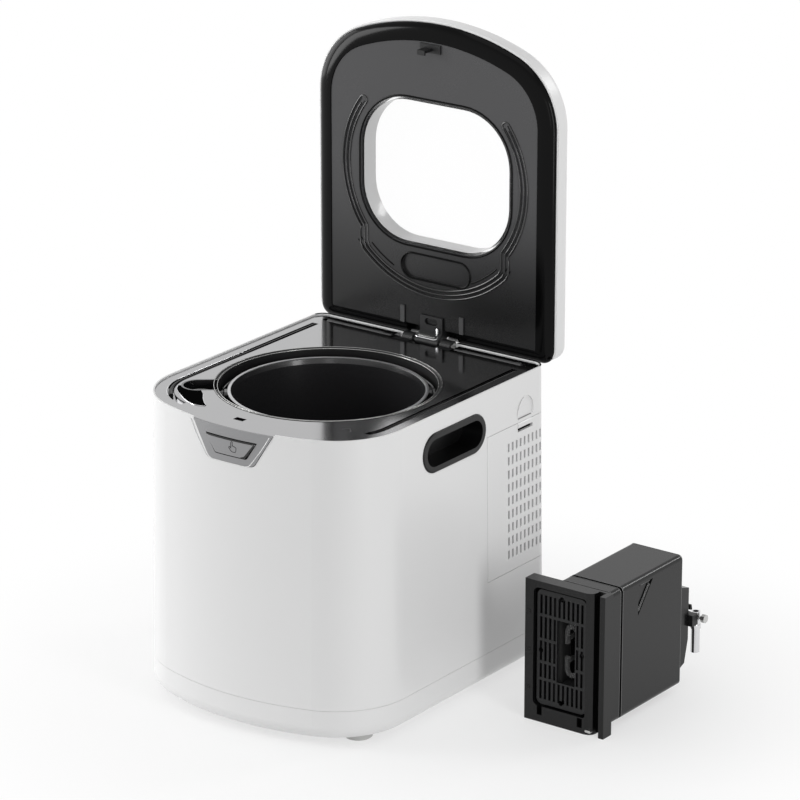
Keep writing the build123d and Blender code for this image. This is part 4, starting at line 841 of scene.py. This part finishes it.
    def link(self) -> None:
        """Makes the bright oval link and its post in front of the arm."""
        flat = Flat(MACHINE, (0, 166.3, 321.6))
        oval = Flat(MACHINE, (-2, 163.2, 320.9), up=(0, 0.93, 0.37))
        form = Form()
        form.slab(oval, RoundBox(27, 7, 3.5), ((0, -0.5), (0.4, 0), (0, 0.5), (-0.8, 0.6)))
        form.slab(flat, RoundBox(2.6, 14, 1.2, 9, 1.6), ((0, -1), (0, 0.5), (-0.5, 0.9)), 4)
        form.slab(flat, RoundBox(9, 2.6, 1.2, 9, -4.2), ((0, -1), (0, 0.6), (-0.5, 1)), 4)
        seat(form.build("hinge_link", "bright_metal"), "lid", "bright_metal", "hinge_clip")
        inner = Form().slab(oval, RoundBox(20, 3.4, 1.7), ((0, 0.4), (0, 0.8), (-0.3, 0.9)))
        seat(inner.build("hinge_link_eye", "steel"), "lid", "bright_metal")


@dataclass
class DeckDressing:
    """What lies on the deck, from the round seal to the torsion rods."""

    top: float = 317.4
    well_y: float = -7.0
    bail_at: float = 38.0
    bail_z: float = 304.5
    bail_r: float = 105.6
    outline: DeeShape = DeeShape(143, -168.75, 168.75)
    run_end: float = -137.0
    run_side: float = 100.0
    left_corner: float = 104.0
    right_corner: float = 103.0
    hinge_half: float = 34.0
    rods_at: Triple = (0, 154, 316)
    chevron_at: Pair = (-99, 104)
    pocket_at: Pair = (101.65, 86.4)
    pocket_r: float = 17.35
    apron_edge: tuple[Pair, ...] = ((116.8, 99.5), (111.5, 108.6), (103.8, 115.6), (95.2, 121.6), (86.9, 127.5),
                                    (78.2, 132.3), (69.4, 135.2), (62.6, 135.4), (56.6, 133.4), (56.9, 130.4),
                                    (63.1, 125.1), (71.6, 116.4), (79.1, 106.7))

    def deck(self, x: float = 0, y: float = 0) -> Flat:
        """Returns the deck's plane about a point; its second size runs to the front."""
        return Flat(MACHINE, (-x, -y, self.top), (-1, 0, 0), (0, -1, 0))

    def build(self) -> None:
        """Makes the deck's pieces."""
        self.seal()
        self.beads()
        self.bail()
        self.chevron()
        self.apron()
        self.rear_cover()
        self.rods()

    def runs(self, inset: float) -> tuple[list[Pair], list[Pair]]:
        """Returns the left and right runs of a line that follows the deck's outline."""
        ring = self.outline.ring(-inset, 24)
        corner, side = self.left_corner, self.run_side
        left = [(x, y) for x, y in ring if x > (corner if y > corner else side) and y > self.run_end]
        right = [(x, y) for x, y in ring if x < -side and self.run_end < y < self.right_corner]
        left.sort(key=lambda p: atan2(p[1], p[0]))
        right.sort(key=lambda p: -atan2(p[1], -p[0]))
        return [(left[0][0], self.run_end)] + left, right + [(right[-1][0], self.run_end)]

    def seal(self) -> None:
        """Makes the round seal in the groove and the groove's bright edge."""
        runs = [self.deck().lift(run, -1.9) for run in self.runs(17.5)]
        bead("deck_round_seal", "seal_black", "machine", "seal_black", 2.3, paths=runs, nodes=["deck_seal"])
        edge = self.deck().lift(self.runs(13.6)[0], -0.1)
        bead("deck_groove_edge", "bright_metal", "machine", "deck_silver", 0.5, paths=[edge])

    def beads(self) -> None:
        """Makes the fine bright beads on the well's ring and the band on the bucket's rolled rim."""
        well = self.deck(0, -self.well_y)
        rings = [well.lift(arc(0, 0, r, 0, 357, 119), out) for r, out in ((113.7, 0.25), (110.2, -0.5))]
        bead("well_ring_beads", "steel", "machine", "deck_silver", 0.35, loops=rings)
        band = ((97.2, -6.6), (97.2, -5.7), (98.2, -5.3), (99.6, -5.3), (100.4, -5.8), (100.4, -8.6), (98.6, -8.6))
        rim = Form().turn(well, band, 96, loop=True)
        seat(rim.build("bucket_rim_band", "aluminium", 50), "bucket", "aluminium")

    def bail(self) -> None:
        """Makes the bail as one flowing hoop with round bosses and a drop-shaped paddle."""
        turn = radians(self.bail_at)
        ax, ay = cos(turn), sin(turn)
        middle = MACHINE + Vector((0, self.well_y, self.bail_z)) * MM
        hoop = Flat(middle, across=(ax, ay, 0), up=(-ay, ax, 0))
        last = 60
        swells = (max(0, 1 - min(i, last - i) / 8) for i in range(last + 1))
        form = Form().tube(hoop.lift(arc(0, 0, self.bail_r, 3.2, 176.8, last)),
                           [(2, 2.9 + 2.6 * swell * swell) for swell in swells], 14)
        boss = ((3.2, -1.9), (5.6, -1.9), (6.2, -1.4), (6.2, 1.4), (5.6, 1.9), (3.2, 1.9))
        for sign in (1, -1):
            end = Flat(middle, across=(-ay * sign, ax * sign, 0))
            form.turn(end, [(r, self.bail_r + out) for r, out in boss], 28, loop=True)
        paddle = ((107, 5.6, 5.6), (109, 5.4, 5.8), (112, 5.2, 6.4), (117, 6.6, 7.6), (123, 8.4, 8.4),
                  (129, 9.2, 8.6), (134.5, 8.6, 8), (138, 6.8, 6.4), (140.2, 4.2, 4), (141, 1.2, 1.2))
        round16 = arc(0, 0, 1, 0, 337.5, 15)
        form.skin([end.lift([(wide * x, high * y) for x, y in round16], out) for out, wide, high in paddle])
        seat(form.build("bail_hoop", "black_gloss", 60), "bail", "black_gloss", "bail_handle")

    def chevron(self) -> None:
        """Makes the small chevron that points to the lid's opening side."""
        mark = self.deck(*self.chevron_at).lift([(6, 3.2), (0.6, -2.4), (-5, 4.6)], 0.05)
        bead("deck_chevron", "mark_dark", "machine", "black_satin", 0.6, 6, paths=[mark])

    def apron(self) -> None:
        """Makes a flat matt black patch of painted shade in front of the paddle's pocket, standing for the depth of a
        recess that isn't modelled, and its bright lip.
        """
        deck = self.deck()
        ring = [*self.apron_edge, *arc(*self.pocket_at, self.pocket_r, 138, 42, 12)]
        # painted shade: a flat black patch laid where the pocket's recess would be, instead of modelling it
        form = Form().skin([deck.lift(ring, -0.15), deck.lift(ring, 0.22)])
        seat(form.build("pocket_apron", "recess_black", 30), "machine", "black_satin")
        lip = deck.lift(self.apron_edge, 0.2)
        bead("pocket_apron_lip", "bright_metal", "machine", "deck_silver", 0.4, 8, paths=[lip])

    def rear_cover(self) -> None:
        """Makes the black strips that cover the rim on both sides of the hinge."""
        ring = self.outline.ring(-0.85, 24)
        form = Form()
        for sign in (1, -1):
            run = sorted((p for p in ring if p[1] < -158 and p[0] * sign > 0), key=lambda p: p[0] * sign)
            path = self.deck().lift([(sign * self.hinge_half, run[0][1])] + run, 1.55)
            form.tube(path, [(0.95, 0.55)] * len(path), 12)
        seat(form.build("rear_rim_cover", "seal_black", 60), "machine", "seal_black")

    def rods(self) -> None:
        """Makes the two torsion rods, stepped at the hinge end and capped at the outer one."""
        form = Form()
        steps = ((0.8, 39.8), (2, 39.8), (2, 49.5), (2.5, 50), (2.5, 115), (2.8, 115.3), (2.8, 121.4), (2.1, 122.2),
                 (0.8, 122.2))
        for sign in (1, -1):
            form.turn(Flat(MACHINE, self.rods_at, (0, sign, 0)), steps, 24)
        seat(form.build("torsion_bars", "mark_dark", 35), "machine", "black_satin", "torsion_rods")


@dataclass
class FrontDressing:
    """The marks and lips of the button, the bezel and the side door, strips of painted shade at the button's gap and
    the door's recess, and the button's spring.
    """

    front_y: float = -168.75
    rim_z: float = 319.0
    bow: float = 270.0
    lean: float = 0.014
    button: float = 1.5
    hand_at: Pair = (6.6, 299.4)
    spring_at: Triple = (4, -156.8, 298)

    def build(self) -> None:
        """Makes the front's pieces."""
        self.mark()
        self.spring()
        self.gap()
        self.lip()
        self.door()

    def bowed(self, points: Sequence[Pair], proud: float) -> Ring:
        """Returns points of the leaning, bowed front, `proud` of the shell."""
        ring = []
        for x, z in points:
            out = (self.rim_z - z) * self.lean + proud
            bow = self.bow + out
            ring.append(MACHINE + Vector((x, bow - sqrt(bow * bow - x * x) + self.front_y - out, z)) * MM)
        return ring

    def gap(self) -> None:
        """Makes a dark strip of painted shade on the button's face along its upper and right edges, where the gap round
        it falls in shade.
        """
        top = [(x, 306.3) for x in range(-25, 32, 4)]
        side = [(32.6, 306.4), (31.9, 305), (23.6, 293.8), (22.4, 292.3), (20.8, 291.1), (17, 290.6)]
        form = Form()
        for line, sizes in ((top, [(0.25, 0.12)] + [(0.85, 0.14)] * (len(top) - 1)),
                            (side, [(wide, 0.14) for wide in (0.7, 1.1, 1.25, 1.15, 0.9, 0.2)])):
            form.tube(self.bowed(line, self.button), sizes, 10, up=-Vector(BACK))
        seat(form.build("button_shadow_gap", "hollow_dark", 50), "button", "black_satin")

    def lip(self) -> None:
        """Makes the pale lip round the bezel."""
        low = arc(-20.6, 290.9, 9.4, 211, 270, 8) + arc(20.6, 290.9, 9.4, 270, 329, 8)
        line = self.bowed([(-48.6, 316), (-40, 301.7)] + low + [(40, 301.7), (48.6, 316)], 0.15)
        bead("bezel_pale_lip", "shell_white", "machine", "shell_white", 0.55, 8, paths=[line])

    def door(self) -> None:
        """Makes the door's filter mesh behind its slots, the lip of the recess above it, and a dark line of painted
        shade along that recess's bottom edge.
        """
        inside = Flat(MACHINE, (139.5, 0, 0), BACK)
        mesh = Form().slab(inside, RoundBox(54, 126, 1, 126.5, 191), ((0, 0), (0, 0.35)), 2)
        seat(mesh.build("door_filter_mesh", "mesh_grey"), "door", "shell_white")
        face = Flat(MACHINE, (142.9, 0, 0), BACK)
        bell = face.lift([(117.6, 273.4), (118.4, 279), (121, 286.5), (125, 291.8), (129.5, 294.4), (133, 294.9)])
        bead("latch_recess_lip", "shell_white", "machine", "shell_white", 0.6, 8, paths=[bell])
        # painted shade: a dark line along the bottom of the recess
        chord = face.lift([(119, 273.1), (142.6, 273.1)], -0.6)
        bead("latch_recess_line", "mark_dark", "machine", "black_satin", 0.35, 6, paths=[chord])

    def mark(self) -> None:
        """Makes the pointing hand on the button as a fine stroke that lies on its bowed face."""
        hand = ((-1, -1.4), (-1, 4.4), (-0.6, 5.2), (0.1, 5.4), (0.7, 4.8), (0.9, 0.9), (1.6, 1.3), (2.4, 0.7),
                (3.1, 0.9), (3.8, 0.2), (4.5, 0.3), (5.2, -0.6), (5.1, -2.8), (4.2, -5), (0.6, -5), (-1.4, -3.7),
                (-3.6, -1.1), (-3.1, -0.1), (-2.2, -0.2), (-1, -1.4))
        x, z = self.hand_at
        line = self.bowed([(x + u, z + v) for u, v in hand], self.button + 0.02)
        bead("button_pointing_hand", "black_satin", "button", "black_satin", 0.33, 6, paths=[line])

    def spring(self) -> None:
        """Makes the coil spring round the button's stem."""
        start = MACHINE + Vector(self.spring_at) * MM
        spring = REPEATS.run(wind_coil, "button_return_spring", "steel", [], Turns=4.0, Radius=4.4 * MM,
                             Length=5.7 * MM, Wire=0.45 * MM, Start=tuple(start))
        seat(spring, "machine", "steel", "button_spring")


@dataclass
class CassetteDressing:
    """The cassette's screws, end tab, latch bars, lamp electrodes and glossy edges."""

    case: RoundBox = RoundBox(62, 140, 5, 59, 78)
    rims: tuple[float, ...] = (20.5, 34.5, 38.5, 145.5)
    edge_x: float = 88.35
    edges_z: Pair = (9.65, 146.35)
    bars_at: Pair = (68.5, 112.5)
    bars_slope: Pair = (26, 32)
    bar_length: float = 30.0

    def front(self, y: float) -> Flat:
        """Returns an upright plane of the cassette that looks to its front."""
        return Flat(CASSETTE, (0, y, 0))

    def build(self) -> None:
        """Makes the cassette's pieces."""
        self.screws()
        self.latch_bars()
        self.lamp_ends()
        self.case_edges()

    def screws(self) -> None:
        """Makes the three screws in the flange's left edge."""
        places = self.front(-0.05).lift((4.2, z) for z in (34.5, 75, 115.5))
        screws = scatter("flange_cross_screws", "screw_dark", cross_screw(Flat(ORIGIN), 2, 0.9), places)
        seat(screws, "cassette", "steel", "flange_screws")

    def latch_bars(self) -> None:
        """Makes the slanted bars in the triangular recess, the line over it and the flange's end tab."""
        side = Flat(CASSETTE, (90, 0, 0), BACK)
        along = Vector(self.bars_slope).normalized()
        bars = []
        for off in (1.2, 3.2):
            start = Vector(self.bars_at) + Vector((-along.y, along.x)) * off
            bars.append(side.lift((start, start + along * self.bar_length), -0.9))
        bars.append(side.lift(((69.5, 140.4), (86, 140.4)), -0.7))
        tab = Form().slab(self.front(0), RoundBox(7, 2.6, 1.2, 76, 4), ((-0.4, 0.6), (0, 0.2), (0, -3)), 4)
        seat(tab.build("flange_end_tab", "steel"), "cassette", "black_satin")
        bead("case_latch_bars", "black_gloss", "cassette", "black_satin", 0.7, 8, paths=bars)

    def case_edges(self) -> None:
        """Makes the fine glossy beads along the case's moulded edges."""
        rims = [self.front(y).lift(self.case.ring(-0.25, 6)) for y in self.rims]
        edges = [[self.front(y).at(self.edge_x, z) for y in (39, 75, 110, 145)] for z in self.edges_z]
        bead("case_edge_beads", "edge_gloss", "cassette", "black_satin", 0.5, 8, loops=rims, paths=edges)

    def lamp_ends(self) -> None:
        """Makes the bright electrodes in the feet of both lamp tubes."""
        form = Form()
        for z in (90, 66):
            for x in (41.2, 53.2):
                form.turn(Flat(CASSETTE, (x, 48, z)), ((0.9, -1), (1.3, 0), (1.3, 7), (0.5, 8)), 12)
        seat(form.build("lamp_electrodes", "bright_metal"), "cassette", "bright_metal")


@dataclass
class InnerDressing:
    """What shows when the tray, bucket or cassette is out: screws, board parts, carbon grains."""

    plate_at: Triple = (0, -7, 55)
    screw_reach: float = 58.0
    board_at: Triple = (-82, 98, 17.6)
    hollow_x: Pair = (36.6, 58)
    hollow_z: Pair = (42, 116)

    def build(self) -> None:
        """Makes the inner pieces."""
        self.screws()
        self.board()
        self.grains()

    def screws(self) -> None:
        """Makes the drive plate's four cross-recessed screws."""
        reach = self.screw_reach
        places = Flat(MACHINE, self.plate_at, up=BACK).lift((x, y) for x in (-reach, reach) for y in (-reach, reach))
        template = cross_screw(Flat(ORIGIN, up=BACK), 4.2, 2.6)
        screws = scatter("plate_cross_screws", "steel", template, places)
        seat(screws, "machine", "steel", "plate_screws")

    def board(self) -> None:
        """Makes rows of small chips on the control board."""
        chip = Form().slab(Flat(ORIGIN, up=BACK), RoundBox(3.6, 2, 0.3), ((0, -0.2), (0, 0.9), (-0.2, 1.1)), 2)
        places = [(-28 + 7 * i, -24 + 5 * j) for i in range(9) for j in range(3)]
        chips = scatter("board_chips", "black_satin", chip.build("chip_template", "black_satin"),
                        Flat(MACHINE, self.board_at, up=BACK).lift(places))
        seat(chips, "machine", "board_green")

    def grains(self) -> None:
        """Makes a layer of carbon grains on the block's front face, round its hollow."""
        front = Flat(CASSETTE, (0, 26, 0))
        grain = Form().turn(Flat(ORIGIN), ((0.5, -0.3), (0.95, 0.1), (0.8, 0.5), (0.3, 0.7)), 6)
        places = []
        for i in range(14):
            for j in range(46):
                x = 35.6 + 2.25 * i + 0.5 * sin(7 * j + i)
                z = 27.4 + 2.3 * j + 0.5 * sin(5 * i + 3 * j)
                if not (self.hollow_x[0] < x < self.hollow_x[1] and self.hollow_z[0] < z < self.hollow_z[1]):
                    places.append(front.at(min(x, 65.6), z, 0.05))
        grains = scatter("carbon_grains", "carbon", grain.build("grain_template", "carbon"), places)
        seat(grains, "drawer", "carbon")


# --- Studio ---


@dataclass(frozen=True)
class SoftBox:
    """One rectangular studio light.

    Attributes:
        name: The light's name.
        place: Its position in metres.
        aim: The point it looks at.
        size: Its width and height in metres.
        power: Its power in watts.
    """

    name: str
    place: Triple
    aim: Triple
    size: Pair
    power: float


@dataclass
class Studio:
    """Camera, floor, backdrop colour and lights, in metres and degrees."""

    camera_at: Vector = MACHINE + Vector((2.43309, -3.21034, 1.70685))
    turn: float = 36.2
    tilt: float = 19.28
    lens: float = 192.51
    sensor: float = 36.0
    room: float = 0.36
    floor_reach: float = 6.0
    shadow_reach: Pair = (0.22, 0.55)
    boxes: tuple[SoftBox, ...] = (
        SoftBox("key_left", (-2.6, -1.6, 1.0), (-0.1, 0.0, 0.25), (0.9, 2.0), 50.0),
        SoftBox("wall_left", (-3.0, -0.2, 1.0), (-0.1, 0.0, 0.25), (1.5, 2.0), 24.0),
        SoftBox("side_right", (1.50, -0.45, 0.50), (0.0, 0.0, 0.12), (0.32, 1.3), 9.0),
        SoftBox("front_right", (1.6, -2.4, 0.7), (0.0, 0.0, 0.15), (0.5, 1.4), 2.5),
        SoftBox("top", (0.0, -0.6, 3.0), (0.0, 0.0, 0.2), (2.4, 2.4), 12.0),
        SoftBox("back_right", (1.2, 2.3, 1.9), (0.1, 0.1, 0.1), (0.5, 1.0), 9.0),
    )

    def build(self) -> None:
        """Adds everything that isn't part of the object."""
        self._camera()
        self._world()
        self._floor()
        for box in self.boxes:
            self._light(box)

    def _camera(self) -> None:
        """Adds the camera."""
        data = bpy.data.cameras.new("camera")
        data.lens, data.sensor_width = self.lens, self.sensor
        data.clip_end = 50.0
        camera = add_object("camera", data)
        camera.location = self.camera_at
        camera.rotation_euler = (radians(90.0 - self.tilt), 0.0, radians(self.turn))
        bpy.context.scene.camera = camera

    def _world(self) -> None:
        """Adds a world that is white to the camera, darker with height in reflections and grey to the rest."""
        world = bpy.data.worlds.new("studio")
        bpy.context.scene.world = world
        world.use_nodes = True
        tree = world.node_tree
        tree.nodes.clear()
        coords = add_node(tree, "ShaderNodeTexCoord", output="Generated")
        height = add_node(tree, "ShaderNodeSeparateXYZ", {0: coords}, 2)
        room = self.room + 0.08 * height.ramp(-0.1, 0.6)
        gloss = 1.0 - 0.45 * height.ramp(0.25, 0.9)
        seen, shiny, through = ray_kinds(tree)
        white = seen.most(through)
        level = white + (1.0 - white) * (shiny * gloss + (1.0 - shiny) * room)
        back = add_node(tree, "ShaderNodeBackground", {"Color": (1.0, 1.0, 1.0), "Strength": level})
        add_node(tree, "ShaderNodeOutputWorld", {"Surface": back})

    def _floor(self) -> None:
        """Adds a pale floor that keeps its shadow near the object and fades into the backdrop."""
        mesh = bpy.data.meshes.new("floor")
        reach = self.floor_reach
        corners = [(-reach, -reach, 0.0), (reach, -reach, 0.0), (reach, reach, 0.0), (-reach, reach, 0.0)]
        mesh.from_pydata(corners, [], [(0, 1, 2, 3)])
        floor = add_object("floor", mesh)
        bench = ShaderBench("floor_white")
        x, y, _ = bench.split()
        away = ((x * x) + (y * y)) ** 0.5
        matt = bench.surface(Base_Color=(0.93, 0.93, 0.93), Roughness=0.55 + 0.1 * bench.noise(200.0))
        seen, shiny, through = ray_kinds(bench.tree)
        white = seen.most(shiny).most(through)
        glow = bench.node("ShaderNodeEmission", {"Strength": white * 0.45 + 0.55})
        mesh.materials.append(bench.mixed(0.55 + 0.45 * away.ramp(*self.shadow_reach), matt, glow))

    def _light(self, box: SoftBox) -> None:
        """Adds one light."""
        data = bpy.data.lights.new(box.name, "AREA")
        data.shape = "RECTANGLE"
        data.size, data.size_y = box.size
        data.energy = box.power
        light = add_object(box.name, data)
        light.location = box.place
        light.rotation_euler = (Vector(box.aim) - Vector(box.place)).to_track_quat("-Z", "Y").to_euler()


def main() -> None:
    """Builds the whole scene."""
    logging.basicConfig(level=logging.INFO)
    bpy.context.scene.view_settings.view_transform = "Standard"
    Studio().build()
    dress_nodes()
    for assembly in (LidDressing(), DeckDressing(), FrontDressing(), CassetteDressing(), InnerDressing()):
        LOG.info("building %s", type(assembly).__name__)
        assembly.build()


if __name__ == "__main__":
    main()
